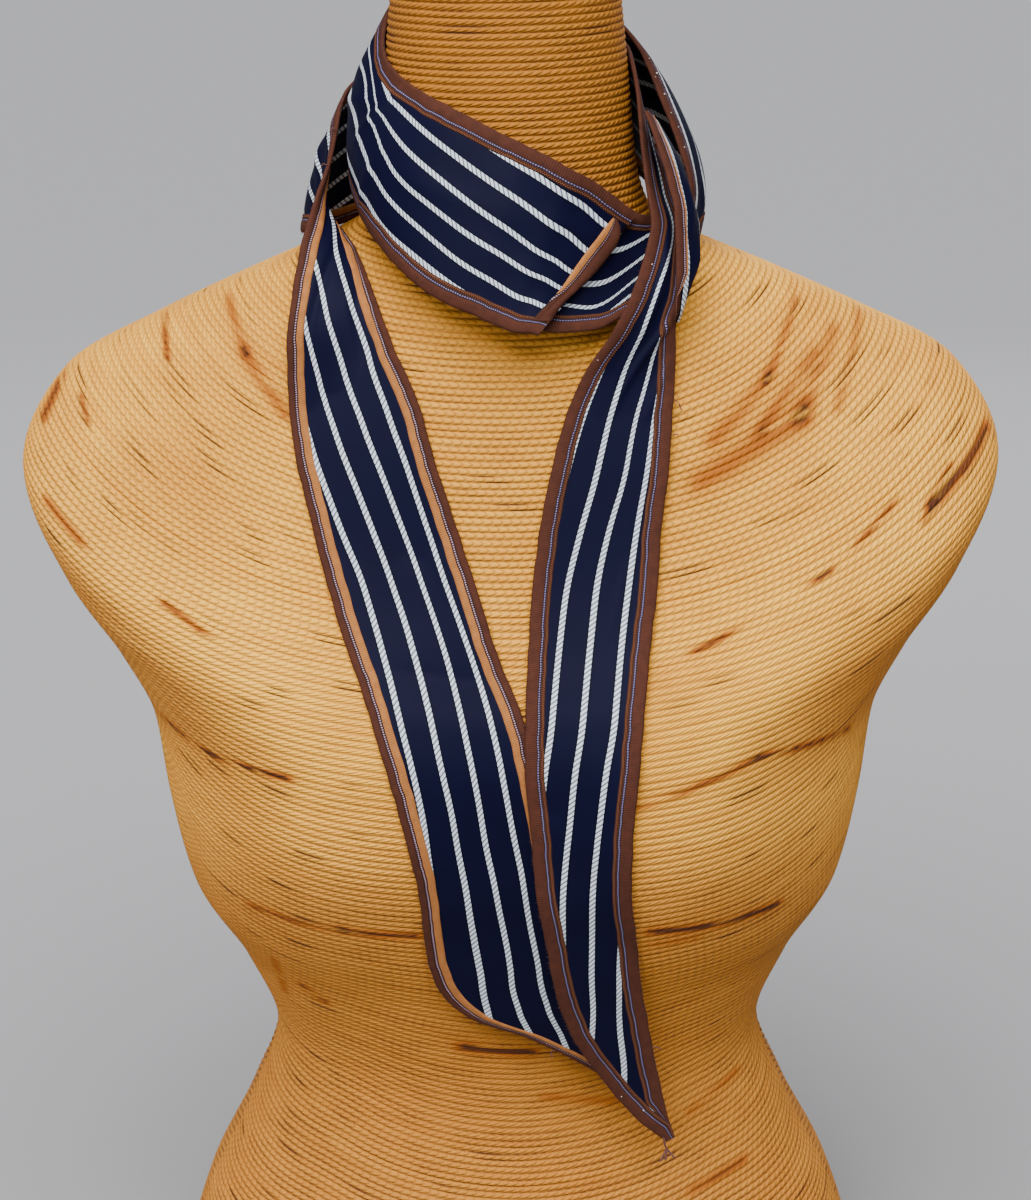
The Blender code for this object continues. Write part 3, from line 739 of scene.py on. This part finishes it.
def lay_out(stretches, outer_sign, creases):
    """The middle surface of a length as a grid of points and normals (mm)."""
    table = [row for rows in stretches.values() for row in rows]
    fine = np.linspace(0, len(table) - 1, 60 * len(table))
    edges = smooth_rows(table, fine, 0, 6)
    middle = (edges[:, :3] + edges[:, 3:]) / 2
    run = np.concatenate([[0], np.cumsum(np.linalg.norm(np.diff(middle, axis=0), axis=1))])
    stations = int(run[-1] / STATION) + 1
    along = np.linspace(0, run[-1], stations)
    place = np.interp(along, run, fine)
    rows = smooth_rows(table, place, 0, 8)
    upper, lower = rows[:, None, :3], rows[:, None, 3:6]
    belly, layers = rows[:, 6, None, None], rows[:, 7]
    ahead = smooth_rows(table, np.minimum(place + 0.05, len(table) - 1), 0, 6)
    behind = smooth_rows(table, np.maximum(place - 0.05, 0), 0, 6)
    heading = (ahead[:, :3] + ahead[:, 3:]) - (behind[:, :3] + behind[:, 3:])
    outward = unit(np.cross(heading, rows[:, 3:6] - rows[:, :3])) * outer_sign
    share = np.linspace(0, 1, ACROSS)[None, :, None]
    grid = upper + (lower - upper) * share
    grid = grid + outward[:, None] * belly * 4 * share * (1 - share)
    width = np.linalg.norm(lower - upper, axis=-1)[:, 0]
    rise = crease_heights(creases, along[:, None], width[:, None] * share[..., 0])
    rise *= np.clip(np.minimum(share, 1 - share)[..., 0] * width[:, None] / CALM_EDGE, 0.25, 1)
    grid = grid + outward[:, None] * rise[..., None]
    grid = lift_off_form(grid, CLOTH_WALL / 2 + REST_GAP + layers * LAYER_STEP)
    return {"grid": grid, "along": along, "width": width,
            "normal": grid_normals(grid) * outer_sign}


def lift_off_form(grid, clear):
    lifted = grid.copy()
    for row in range(grid.shape[0]):
        for column in range(grid.shape[1]):
            point = Vector(grid[row, column])
            nearest, normal, _, _ = form_tree.find_nearest(point)
            if normal.dot(nearest - Vector((0, 0, nearest.z))) < 0:
                normal = -normal
            height = (point - nearest).dot(normal)
            if height < clear[row]:
                lifted[row, column] = nearest + normal * clear[row]
    return lifted


def grid_normals(grid):
    along = np.gradient(grid, axis=0)
    across = np.gradient(grid, axis=1)
    return unit(np.cross(along, across))


def width_along(length, along):
    return np.interp(along, length["along"], length["width"])


def on_cloth(length, along, distance, height):
    """Points (mm) at distances along a length and across it from its upper edge, raised from
    the middle of the cloth towards its outer face. The three are arrays of one shape."""
    grid, normal = length["grid"], length["normal"]
    row = np.clip(along / length["along"][1], 0, len(grid) - 1.001)
    column = np.clip(distance / width_along(length, along), 0, 1) * (ACROSS - 1)
    column = np.minimum(column, ACROSS - 1.001)
    r, c = row.astype(int), column.astype(int)
    rf, cf = (row - r)[..., None], (column - c)[..., None]

    def mixed(values):
        return ((values[r, c] * (1 - cf) + values[r, c + 1] * cf) * (1 - rf)
                + (values[r + 1, c] * (1 - cf) + values[r + 1, c + 1] * cf) * rf)

    return mixed(grid) + unit(mixed(normal)) * np.asarray(height)[..., None]


inner_length = lay_out(INNER_LENGTH, 1, INNER_CREASES)
outer_length = lay_out(OUTER_LENGTH, -1, OUTER_CREASES)
right_fold = lay_out(RIGHT_FOLD, -1, FOLD_CREASES)
right_fold["normal"] = -right_fold["normal"]

# The cloth is a thin navy twill with raised silver stripes woven in along its length. The cut
# isn't quite on the stripes' line, so they drift slowly under the binding.
TWILL_WALL = 0.7
TWILL_COLUMNS = 37
STRIPE_SPACING = 12.0
STRIPE_EASE = 7.0
STRIPE_EDGE = (1.10, 1.28)
STRIPE_SHADE_EDGE = (1.4, 2.1)
HATCH_PITCH = 2.1
HATCH_LEAN = 0.34
HATCH_EDGE = (0.08, 0.24)
TWILL_LINE_STEP = 0.62
TWILL_LINE_PITCH = 0.7
UNDER_BINDING = 2.0
NAVY = [(0.0010, 0.0011, 0.0075, 1), (0.0036, 0.0040, 0.024, 1)]
NAVY_CLOUD = (0.004, 0.004, 0.026, 1)
STRIPE_SIDE_SHADE = (0.001, 0.001, 0.003, 1)
SILVER = [(0.085, 0.10, 0.15, 1), (0.60, 0.65, 0.70, 1)]
INNER_STRIPES = [
    # distance along the length, distances of six stripes from the upper edge
    (0, 14, 28, 38.5, 46, 55, 66), (24, 10, 23, 35, 43.7, 54, 64.5),
    (48, 8, 19, 31, 41.5, 52.6, 61.3), (84, 2, 13.2, 23.6, 34.7, 44.1, 55.1),
    (96, 0, 11.5, 20.8, 30.0, 40.2, 50.8), (104, -1.2, 10.2, 17.2, 23.6, 35.6, 48.2),
    (112, -2.6, 8.6, 14.2, 18.8, 30.6, 46.0), (122, -4, 7, 11.2, 15.0, 26.4, 44.6),
    (134, -5, 5.9, 9.4, 13.0, 24.2, 44), (175, -7, 5, 16, 28, 39, 50),
    (320, -7, 5, 16.5, 28, 39.5, 51), (414, -8, 3.9, 10, 17.5, 21, 31),
    (422, -8, 3.6, 10.8, 18.8, 22.4, 32), (430, -7, 4.3, 12.7, 21.4, 25.2, 35),
    (438, -6, 6, 15.3, 25, 29.5, 40), (446, -5, 7.4, 16.7, 27.8, 32.6, 44),
    (454, -4, 7.7, 18.1, 29.8, 34.8, 46), (473, -4.5, 7.6, 19.5, 30.6, 38.4, 50),
    (493, -5.5, 6.4, 19, 31.2, 39.6, 51.6), (513, -8, 4, 16.9, 28.2, 39.6, 51),
    (533, -9.5, 2.3, 13.9, 25.8, 38.9, 50.5), (553, -10.6, 1.4, 12.8, 25.1, 37.7, 49.5),
    (593, -13.5, -1.7, 10.5, 22.7, 35.3, 47.5), (613, -17.4, -5.4, 6.8, 18.8, 30.9, 43),
    (633, -21, -9.2, 2.8, 14.8, 26.6, 38.6), (673, -28, -15.8, -3.8, 8.1, 19.8, 31.7),
    (693, -31, -19, -7, 4.6, 16.5, 28.1), (708, -34, -22, -10, 2.4, 14.5, 25.3),
    (720, -37, -25, -13, -0.6, 11.5, 21.9), (732, -43, -31, -19, -6.5, 5.4, 18),
    (744, -49, -37, -25, -12.5, 0.6, 13.1), (752, -53, -41, -29, -17, -4, 9.4),
    (762, -60, -48, -36, -24, -11, 2), (776, -70, -58, -46, -34, -21, -8),
]
OUTER_STRIPES = [
    # distance along the length, distances of five stripes from the upper edge
    (0, 8, 22, 43, 52, 59), (16, 8, 22, 39.8, 48.9, 55.2), (24, 6, 19, 33.3, 45.3, 51.5),
    (32, 2, 13, 25.5, 37.7, 44.5), (48, -2, 7, 16, 24, 31), (66, -2, 9, 19, 30, 40),
    (92, -2, 10, 22, 34, 46), (130, -2, 9, 21, 33, 45), (336, -2, 10, 22, 34, 46),
    (353, -18, -8, 2, 12, 22), (375, -18, -8, 2.4, 13.4, 23), (381, -16, -6, 4.8, 15.5, 25),
    (387, -13, -3.5, 7.8, 17.5, 27), (393, -9, 1, 10.9, 19.8, 30), (399, -6, 4, 13.3, 22.7, 33),
    (405, -3.6, 6.6, 15.6, 25.9, 36.4), (411, -2, 8.8, 17.8, 28.8, 39.4),
    (417, 0.4, 10.1, 19.8, 30.9, 41.8), (433, 4.8, 14.2, 24.8, 36.1, 47.5),
    (453, 7.3, 18, 29.5, 40.5, 52), (473, 9.4, 20.9, 32.5, 42.9, 54.4),
    (493, 11.4, 23.1, 34.5, 43.9, 55.4), (513, 14.1, 24.8, 36.1, 44.7, 56.5),
    (533, 13.8, 25.4, 36.7, 45.2, 57), (553, 12.3, 24, 36.1, 45, 56.6),
    (573, 10.8, 22.7, 34.7, 45.2, 57), (593, 10, 20.9, 33, 44.3, 56),
    (613, 8.6, 20.2, 31.5, 42.7, 54), (633, 6.4, 18.9, 30, 41.8, 53),
    (653, 5.8, 19.4, 31.1, 42.4, 54), (673, 5.6, 20.6, 33, 43.5, 55), (683, 5, 20, 32.4, 43.3, 55),
    (693, 3, 18.3, 30.1, 41.6, 53), (703, -2, 14, 25.7, 37.5, 49), (713, -6, 7.6, 20.4, 32, 43.4),
    (723, -14, -1, 11.8, 23.8, 35), (733, -23, -10, 2, 14.5, 26), (743, -33, -20, -7.5, 5.1, 17),
    (762, -52, -39, -26, -14, -2),
]
FOLD_STRIPES = [
    # distance along the fold, distances of two stripes from the folded line
    (0, 8, 20.9), (13, 6, 17.4), (27, 1, 12.4), (42, 0, 11.6), (55, -3, 8.8), (68, -9, 3.5),
    (77, -12, 0),
]


def twill_finish():
    finish, tree, shader = new_finish("striped_twill", (0.010, 0.010, 0.034), 0.55)
    along, stripe = lay_parts(tree)
    off = calculate(tree, "SUBTRACT", stripe, calculate(tree, "ROUND", stripe))
    off = calculate(tree, "MULTIPLY", off, STRIPE_SPACING)
    gap = calculate(tree, "ABSOLUTE", off)
    silver = fade(tree, gap, *STRIPE_EDGE, 1.0, 0.0)
    stripe_side_shade = fade(tree, gap, *STRIPE_SHADE_EDGE, 1.0, 0.0)
    slant = calculate(tree, "MULTIPLY_ADD", off, HATCH_LEAN,
                      calculate(tree, "MULTIPLY", along, 1000 / HATCH_PITCH))
    rib = fade(tree, off_from(tree, calculate(tree, "FRACT", slant), 0.5), *HATCH_EDGE)
    fine = calculate(tree, "MULTIPLY_ADD", stripe, STRIPE_SPACING / TWILL_LINE_STEP,
                     calculate(tree, "MULTIPLY", along, 1000 / TWILL_LINE_PITCH))
    fine = off_from(tree, calculate(tree, "FRACT", fine), 0.5)
    navy = blend_colour(tree, calculate(tree, "MULTIPLY", fine, 1.6), *NAVY)
    navy = blend_colour(tree, calculate(tree, "MULTIPLY", noise(tree, 45.0, 3.0), 0.5), navy,
                        NAVY_CLOUD)
    # Painted shade along both sides of each raised stripe.
    navy = blend_colour(tree, calculate(tree, "MULTIPLY", stripe_side_shade, 0.7), navy, STRIPE_SIDE_SHADE)
    pale = blend_colour(tree, rib, *SILVER)
    raised = calculate(tree, "MULTIPLY_ADD", silver,
                       calculate(tree, "MULTIPLY_ADD", rib, 0.6, 0.6),
                       calculate(tree, "MULTIPLY", fine, 0.25))
    finish_surface(tree, shader, blend_colour(tree, silver, navy, pale), raised,
                   0.0003, 0.8, 0.06)
    return finish


def stripe_numbers(stripes, along, distance):
    """How many stripes a point lies past the first one, from the table's stripe lines."""
    table = np.array(stripes, float)
    shifts = np.linspace(-STRIPE_EASE, STRIPE_EASE, 5)
    lines = np.stack([np.mean([np.interp(along + shift, table[:, 0], column) for shift in shifts],
                              axis=0) for column in table[:, 1:].T])
    number = (distance - lines[0]) / STRIPE_SPACING
    for count, (near, far) in enumerate(zip(lines, lines[1:])):
        number = np.where(distance > near, count + (distance - near) / (far - near), number)
    past = (distance - lines[-1]) / STRIPE_SPACING
    return np.where(distance > lines[-1], len(lines) - 1 + past, number)


def twill_sheet(name, length, stripes, margins=(UNDER_BINDING, UNDER_BINDING)):
    """The cloth between the bindings of a length."""
    rows = len(length["along"])
    along = length["along"][:, None]
    width = width_along(length, along)
    near = np.minimum(margins[0], width * 0.45)
    far = np.maximum(width - margins[1], width * 0.55)
    share = np.linspace(0, 1, TWILL_COLUMNS)[None, :]
    distance = near + (far - near) * share
    along = np.broadcast_to(along, distance.shape)
    uv = np.stack([along * MM, stripe_numbers(stripes, along, distance)], axis=-1)
    points = on_cloth(length, along, distance, np.zeros_like(distance))
    piece = make_piece(name, points, grid_faces(rows, TWILL_COLUMNS), striped_twill, uv)
    wall = piece.modifiers.new("wall", "SOLIDIFY")
    wall.thickness = TWILL_WALL * MM
    wall.offset = 0.0
    return piece


striped_twill = twill_finish()
inner_twill = twill_sheet("inner_length_twill", inner_length, INNER_STRIPES)
outer_twill = twill_sheet("outer_length_twill", outer_length, OUTER_STRIPES)
fold_twill = twill_sheet("right_fold_twill", right_fold, FOLD_STRIPES, margins=(0.0, 2.0))
for piece, stretches in [(inner_twill, INNER_LENGTH), (outer_twill, OUTER_LENGTH)]:
    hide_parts(*["scarf_" + stretch + "_cloth" for stretch in stretches])
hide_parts("scarf_fold_right")

# The binding is a brown ribbed tape folded over both edges of the strip and sewn through. On
# the outer face it is wide and brown, with a lavender chain stitch and a double copper stitch
# beside it. On the inner face it is narrow, with a zigzag stitch and a tan lining tape.
BINDING_PROFILE = [
    # distance in from the edge, height above the middle of the cloth
    (7.75, 0.36), (7.5, 0.58), (7.0, 0.76), (6.5, 0.60), (6.2, 0.68), (5.85, 0.62),
    (5.35, 0.82), (4.9, 0.62), (4.5, 0.86), (3.0, 0.95), (1.0, 0.88), (0.3, 0.62), (0.0, 0.0),
    (0.3, -0.62), (1.0, -0.86), (2.4, -0.90), (2.9, -0.62), (3.55, -0.80), (4.2, -0.60),
    (4.7, -0.82), (6.4, -0.84), (7.1, -0.70), (7.4, -0.36),
]
EDGE_WOBBLE = 0.35
OUTER_CHAIN = 5.35
OUTER_DOUBLE = 7.0
INNER_ZIGZAG = 3.55
TAN_STARTS = 4.3
TAPE_RIB = 0.85
FOLD_TAPE_REACH = 4.9
BROWN_TAPE = [(0.014, 0.0040, 0.0026, 1), (0.084, 0.0235, 0.0115, 1)]
TAN_TAPE = [(0.13, 0.042, 0.009, 1), (0.43, 0.165, 0.046, 1)]
SEAM_SHADE = (0.010, 0.004, 0.005, 1)
CHAIN_THREAD = (0.18, 0.16, 0.31, 1)
ZIGZAG_THREAD = (0.42, 0.27, 0.33, 1)
DOUBLE_THREAD = (0.33, 0.105, 0.034, 1)


def tape_finish():
    finish, tree, shader = new_finish("sewn_tape", (0.12, 0.036, 0.020), 0.85)
    along, side = lay_parts(tree)
    along = calculate(tree, "MULTIPLY", along, 1000.0)
    inner_face = calculate(tree, "LESS_THAN", side, 0.0)
    outer_face = calculate(tree, "SUBTRACT", 1.0, inner_face)
    wave = noise(tree, 0.22, 1.0, add_node(tree, "ShaderNodeCombineXYZ", {0: along}).outputs[0])
    place = calculate(tree, "MULTIPLY_ADD", calculate(tree, "ABSOLUTE", side), 1000.0,
                      calculate(tree, "MULTIPLY_ADD", wave, 0.7, -0.35))

    def band(centre, half, face):
        edge = fade(tree, off_from(tree, place, centre), half - 0.08, half + 0.08, 1.0, 0.0)
        return calculate(tree, "MULTIPLY", edge, face)

    def sewn_line(centre, half, face, pitch, share, start=0.0):
        """A row of stitches of one pitch, each a share of it long to either side."""
        part = calculate(tree, "FRACT", calculate(tree, "MULTIPLY_ADD", along, 1 / pitch, start))
        stitch = fade(tree, off_from(tree, part, 0.5), share - 0.08, share + 0.04, 1.0, 0.0)
        return calculate(tree, "MULTIPLY", band(centre, half, face), stitch)

    ribs = calculate(tree, "ABSOLUTE", calculate(tree, "SINE", calculate(
        tree, "MULTIPLY", along, math.pi / TAPE_RIB)))
    mixed = calculate(tree, "MULTIPLY_ADD", ribs, 0.45,
                      calculate(tree, "MULTIPLY", noise(tree, 320.0, 3.0), 0.65))
    brown = blend_colour(tree, mixed, *BROWN_TAPE)
    tan = blend_colour(tree, mixed, *TAN_TAPE)
    is_tan = calculate(tree, "MULTIPLY", inner_face,
                       fade(tree, place, TAN_STARTS - 0.1, TAN_STARTS + 0.1))
    tone = blend_colour(tree, is_tan, brown, tan)
    seam = calculate(tree, "MAXIMUM", band(OUTER_CHAIN, 0.62, outer_face),
                     calculate(tree, "MAXIMUM", band(OUTER_DOUBLE, 0.66, outer_face),
                               band(INNER_ZIGZAG, 0.80, inner_face)))
    chain = sewn_line(OUTER_CHAIN, 0.27, outer_face, 1.0, 0.34)
    zigzag = sewn_line(INNER_ZIGZAG, 0.30, inner_face, 0.9, 0.30)
    double = calculate(tree, "MAXIMUM",
                       sewn_line(OUTER_DOUBLE - 0.24, 0.13, outer_face, 0.85, 0.30),
                       sewn_line(OUTER_DOUBLE + 0.26, 0.13, outer_face, 0.85, 0.30, 0.5))
    for line, colour in [(calculate(tree, "MULTIPLY", seam, 0.88), SEAM_SHADE),
                         (chain, CHAIN_THREAD), (zigzag, ZIGZAG_THREAD),
                         (double, DOUBLE_THREAD)]:
        tone = blend_colour(tree, line, tone, colour)
    thread = calculate(tree, "MAXIMUM", chain, calculate(tree, "MAXIMUM", zigzag, double))
    raised = calculate(tree, "MULTIPLY_ADD", mixed, 0.5, thread)
    finish_surface(tree, shader, tone, raised, 0.0003, 0.8, 0.2)
    return finish


sewn_tape = tape_finish()


def bind_edge(name, length, lower, reach=BINDING_PROFILE[0][0]):
    """The tape folded over one edge of a length. Where the strip runs out at a slanted end, both
    tapes narrow and the upper one lies over the lower."""
    along = length["along"]
    width = width_along(length, along)
    columns, heights = np.array(BINDING_PROFILE).T
    columns = np.minimum(columns, reach)
    room = width - columns.max() if lower else width
    narrow = np.clip(room * 0.97 / columns.max(), 0.08, 1.0)[:, None]
    covering = 0.0 if lower else 0.3 * np.clip(2.4 - width / columns.max(), 0, 1)[:, None]
    wobble = 1 + np.sin(along / 3.7) * np.sin(along / 9.1 + 1) + 0.4 * np.sin(along / 1.9)
    distance = (columns[None, :] + EDGE_WOBBLE / 2 * np.maximum(wobble, 0)[:, None]) * narrow
    if lower:
        distance = width[:, None] - distance
    height = heights * (1 + covering) + np.sign(heights) * covering * 0.5
    height = np.broadcast_to(height, distance.shape)
    grid_along = np.broadcast_to(along[:, None], distance.shape)
    points = on_cloth(length, grid_along, distance, height)
    lay = np.where(np.arange(len(columns)) < np.argmin(columns), columns, -columns)
    uv = np.stack([grid_along * MM, np.broadcast_to(lay * MM, distance.shape)], axis=-1)
    faces = grid_faces(len(along), len(columns))
    if lower:
        faces = faces[:, ::-1]
    piece = make_piece(name, points, faces, sewn_tape, uv)
    return piece


bindings = {}
for label, length, stretches in [("inner_length", inner_length, INNER_LENGTH),
                                 ("outer_length", outer_length, OUTER_LENGTH)]:
    bindings[label] = []
    for side, lower in [("upper", False), ("lower", True)]:
        piece = bind_edge(label + "_binding_" + side, length, lower)
        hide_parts(*["scarf_" + stretch + "_binding_" + side for stretch in stretches])
        bindings[label].append(piece)
fold_binding = bind_edge("right_fold_binding", right_fold, True, FOLD_TAPE_REACH)

# The band's near end is turned back as a short lip of the same tape, with its tan side to the
# left and its brown side, puffed up, along the free edge.
LIP = [
    # distance from the upper edge, distance along of the tan side and of the free edge
    (8.4, 5.8, 4.6), (10.0, 6.0, 2.0), (13.0, 6.3, 0.3), (18.0, 6.7, -0.9), (26.0, 7.1, -1.6),
    (34.0, 7.3, -1.6), (41.0, 7.1, -0.9), (46.0, 7.2, 0.0), (50.0, 7.7, 0.9), (54.0, 8.6, 0.9),
    (58.0, 9.6, 0.3), (61.5, 10.4, -0.4),
]
LIP_PROFILE = [
    # share of the way to the free edge, height, place on the tape
    (0.0, 0.30, -7.4), (0.03, 0.95, -7.2), (0.14, 1.30, -5.8), (0.27, 1.15, -4.35),
    (0.33, 1.30, -3.6), (0.39, 1.15, -2.8), (0.50, 1.80, -2.2), (0.74, 2.20, -1.5),
    (0.90, 1.90, -0.8), (1.0, 0.90, -0.3), (1.0, 0.0, 0.0), (0.96, -0.55, -0.3),
    (0.5, -0.62, -1.0), (0.0, -0.62, -1.6),
]
LIP_ROWS = 60
LIP_TAN_ENDS = (40.0, 52.0)
lip_table = np.array(LIP)
lip_distance = np.linspace(LIP[0][0], LIP[-1][0], LIP_ROWS)
tan_side = np.interp(lip_distance, lip_table[:, 0], lip_table[:, 1])
free_edge = np.interp(lip_distance, lip_table[:, 0], lip_table[:, 2])
lip_share, lip_height, lip_place = np.array(LIP_PROFILE).T
lip_along = tan_side[:, None] + (free_edge - tan_side)[:, None] * lip_share
lip_full = np.clip(np.minimum(lip_distance - LIP[0][0], LIP[-1][0] - lip_distance) / 7, 0.35, 1)
lip_rise = np.where(lip_height > 0.5, 0.5 + (lip_height - 0.5) * lip_full[:, None], lip_height)
lip_across = np.broadcast_to(lip_distance[:, None], lip_along.shape)
lip_tan = np.interp(lip_distance, LIP_TAN_ENDS, (1.0, 0.42))[:, None]
lip_points = on_cloth(inner_length, np.abs(lip_along), lip_across, lip_rise)
band_end = on_cloth(inner_length, np.zeros_like(lip_along), lip_across, lip_rise)
lip_points = np.where(lip_along[..., None] < 0, 2 * band_end - lip_points, lip_points)
lip = make_piece(
    "band_end_lip", lip_points,
    grid_faces(LIP_ROWS, len(LIP_PROFILE)), sewn_tape,
    np.stack([lip_across * MM, lip_place * lip_tan * MM], axis=-1))
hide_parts("scarf_lip")

# The tape's cut edge is frayed. Short brown hairs stand out from it all along, a few longer
# threads have come loose, and the right tail's tip ends in a knotted thread that splits.
FRAY_SPACING = 0.8
FRAY_LENGTHS = (0.3, 1.3)
HAIR_RADIUS = 0.09
THREAD_RADIUS = 0.26
TIP_STRAND_RADIUS = 0.48
LOOSE_THREADS = [
    # thread, length, distance along, distance from the upper edge, then steps (mm) to its end
    ("right tail high", "inner", 463, 99, (1.6, -1.0, -1.2), (3.0, -1.0, -4.6)),
    ("right tail lower", "inner", 478, 99, (1.4, -1.2, 0.8), (2.6, -1.0, 0.4)),
    ("right tail low", "inner", 741, 99, (1.6, -0.6, 0.0), (3.4, -0.4, -1.0)),
    ("left turn high", "outer", 336, 0, (-1.2, -0.8, 1.4), (-2.6, -1.2, 0.8)),
    ("left turn", "outer", 346, 0, (-1.6, -0.6, 0.8), (-2.8, -0.8, -0.4)),
    ("left tail low", "outer", 742, 0, (-0.6, -0.8, -1.8), (-0.2, -0.8, -3.4)),
    ("tip", "inner", 783, 3, (1.2, -0.6, -3.6), (1.8, 0.2, -7.0), (2.6, 0.8, -9.4)),
    ("tip left strand", "inner", 783, 3, (2.5, 0.8, -9.2), (1.2, 1.0, -12.0), (0.0, 1.0, -15.2)),
    ("tip middle strand", "inner", 783, 3, (2.6, 0.8, -9.2), (2.4, 1.0, -12.2), (1.9, 1.0, -14.6)),
    ("tip right strand", "inner", 783, 3, (2.7, 0.8, -9.2), (4.4, 1.0, -11.6), (6.0, 1.0, -13.6)),
]
THREAD_SIDES = 6
THREAD_STEPS = 8
FRAY_TONES = [(0.028, 0.008, 0.006, 1), (0.20, 0.075, 0.06, 1)]
rng = np.random.default_rng(11)
fray_finish, fray_tree, fray_shader = new_finish("frayed_thread", (0.14, 0.045, 0.035), 0.9)
fray_tone = noise(fray_tree, 600.0)
fray_tree.links.new(blend_colour(fray_tree, fray_tone, *FRAY_TONES),
                    fray_shader.inputs["Base Color"])
for label, length in [("inner_length", inner_length), ("outer_length", outer_length)]:
    run = length["along"][-1]
    count = int(run / FRAY_SPACING)
    hairs = []
    for lower in (False, True):
        along = np.sort(rng.uniform(2, run - 3, count))
        width = width_along(length, along)
        rim = width if lower else np.zeros(count)
        inward = -1 if lower else 1
        low = on_cloth(length, along, rim + inward * 0.7, rng.uniform(-0.4, 0.5, count))
        inner = on_cloth(length, along, rim + inward * 3.0, np.zeros(count))
        edge = on_cloth(length, along, rim, np.zeros(count))
        out = unit(edge - inner)
        aside = unit(on_cloth(length, along + 1, rim, np.zeros(count)) - edge)
        thick = np.cross(out, aside)
        reach = 0.5 + rng.uniform(*FRAY_LENGTHS, count) ** 2
        lean = rng.normal(0, 0.35, (count, 2))
        tip = low + (out + aside * lean[:, :1] + thick * lean[:, 1:] * 0.5) * reach[:, None]
        hairs.append(np.stack([
            low + aside * HAIR_RADIUS, low - aside * HAIR_RADIUS / 2 + thick * HAIR_RADIUS,
            low - aside * HAIR_RADIUS / 2 - thick * HAIR_RADIUS, tip], axis=1))
    hairs = np.concatenate(hairs)
    start = 4 * np.arange(len(hairs))[:, None, None]
    hair_faces = (start + np.array([[0, 1, 3], [1, 2, 3], [2, 0, 3], [2, 1, 0]])).reshape(-1, 3)
    fray = make_piece(label + "_fray", hairs, hair_faces, fray_finish)
    bindings[label].append(fray)


def tube(points, radius):
    """Points of a smooth thread through a few places, drawn to a point at both ends."""
    steps = (len(points) - 1) * THREAD_STEPS + 1
    line = smooth_rows(points, np.linspace(0, len(points) - 1, steps), 0, 3)
    ahead = unit(np.gradient(line, axis=0))
    aside = unit(np.cross(ahead, np.array([0.3, 1.0, 0.2])))
    other = np.cross(ahead, aside)
    turn_angles = 2 * np.pi * np.arange(THREAD_SIDES + 1) / THREAD_SIDES
    radii = radius * (0.9 + 0.1 * np.cos(np.arange(steps) * 1.9))
    radii[0] = radii[-1] = 0.02
    ring = (aside[:, None] * np.cos(turn_angles)[None, :, None]
            + other[:, None] * np.sin(turn_angles)[None, :, None])
    return line[:, None] + ring * radii[:, None, None]


for name, which, along, across, *offsets in LOOSE_THREADS:
    length = inner_length if which == "inner" else outer_length
    root = on_cloth(length, np.array([along * 1.0]), np.array([across * 1.0]), np.zeros(1))[0]
    places = [root + np.array(step) for step in offsets]
    if not name.startswith("tip "):  # the tip's strands start at its knot instead
        places.insert(0, root)
    grid = tube(places, TIP_STRAND_RADIUS if name.startswith("tip") else THREAD_RADIUS)
    thread = make_piece("loose_thread_" + name.replace(" ", "_"), grid,
                        grid_faces(*grid.shape[:2]), fray_finish)
    bindings[which + "_length"].append(thread)

# A few pale specks of lint cling to the tape. They are tufts of loose fibre, caught on its ribs
# and stitches.
LINT = [
    # length, distance along, distance from the upper edge, size
    ("outer", 132, 2.6, 0.42), ("outer", 127, 3.8, 0.62), ("outer", 124, 1.2, 0.30),
    ("outer", 119, 3.0, 0.45), ("outer", 112, 2.2, 0.36), ("outer", 108, 3.6, 0.30),
    ("outer", 101, 2.8, 0.40), ("inner", 404, 4.4, 0.38), ("inner", 441, 2.0, 0.26),
    ("inner", 760, 2.4, 0.34), ("inner", 770, 5.2, 0.40), ("outer", 640, 2.2, 0.24),
]
lint_finish = new_finish("lint", (0.62, 0.58, 0.54), 0.9)[0]
speck = np.array([(1, 0, 0), (0, 1, 0), (-1, 0, 0), (0, -1, 0), (0, 0, 1), (0, 0, -1)], float)
speck_faces = np.array([(0, 1, 4), (1, 2, 4), (2, 3, 4), (3, 0, 4),
                        (1, 0, 5), (2, 1, 5), (3, 2, 5), (0, 3, 5)])
specks = []
for which, along, across, speck_size in LINT:
    length = inner_length if which == "inner" else outer_length
    centre = on_cloth(length, np.array([along * 1.0]), np.array([across * 1.0]), np.array([1.1]))
    specks.append(centre + speck * speck_size * rng.uniform(0.6, 1.2, (6, 1)))
lint_faces = (6 * np.arange(len(LINT))[:, None, None] + speck_faces).reshape(-1, 3)
lint = make_piece("lint", np.array(specks), lint_faces, lint_finish)

size = {"cad": solid_box, "visual": [list(corner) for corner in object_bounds()]}
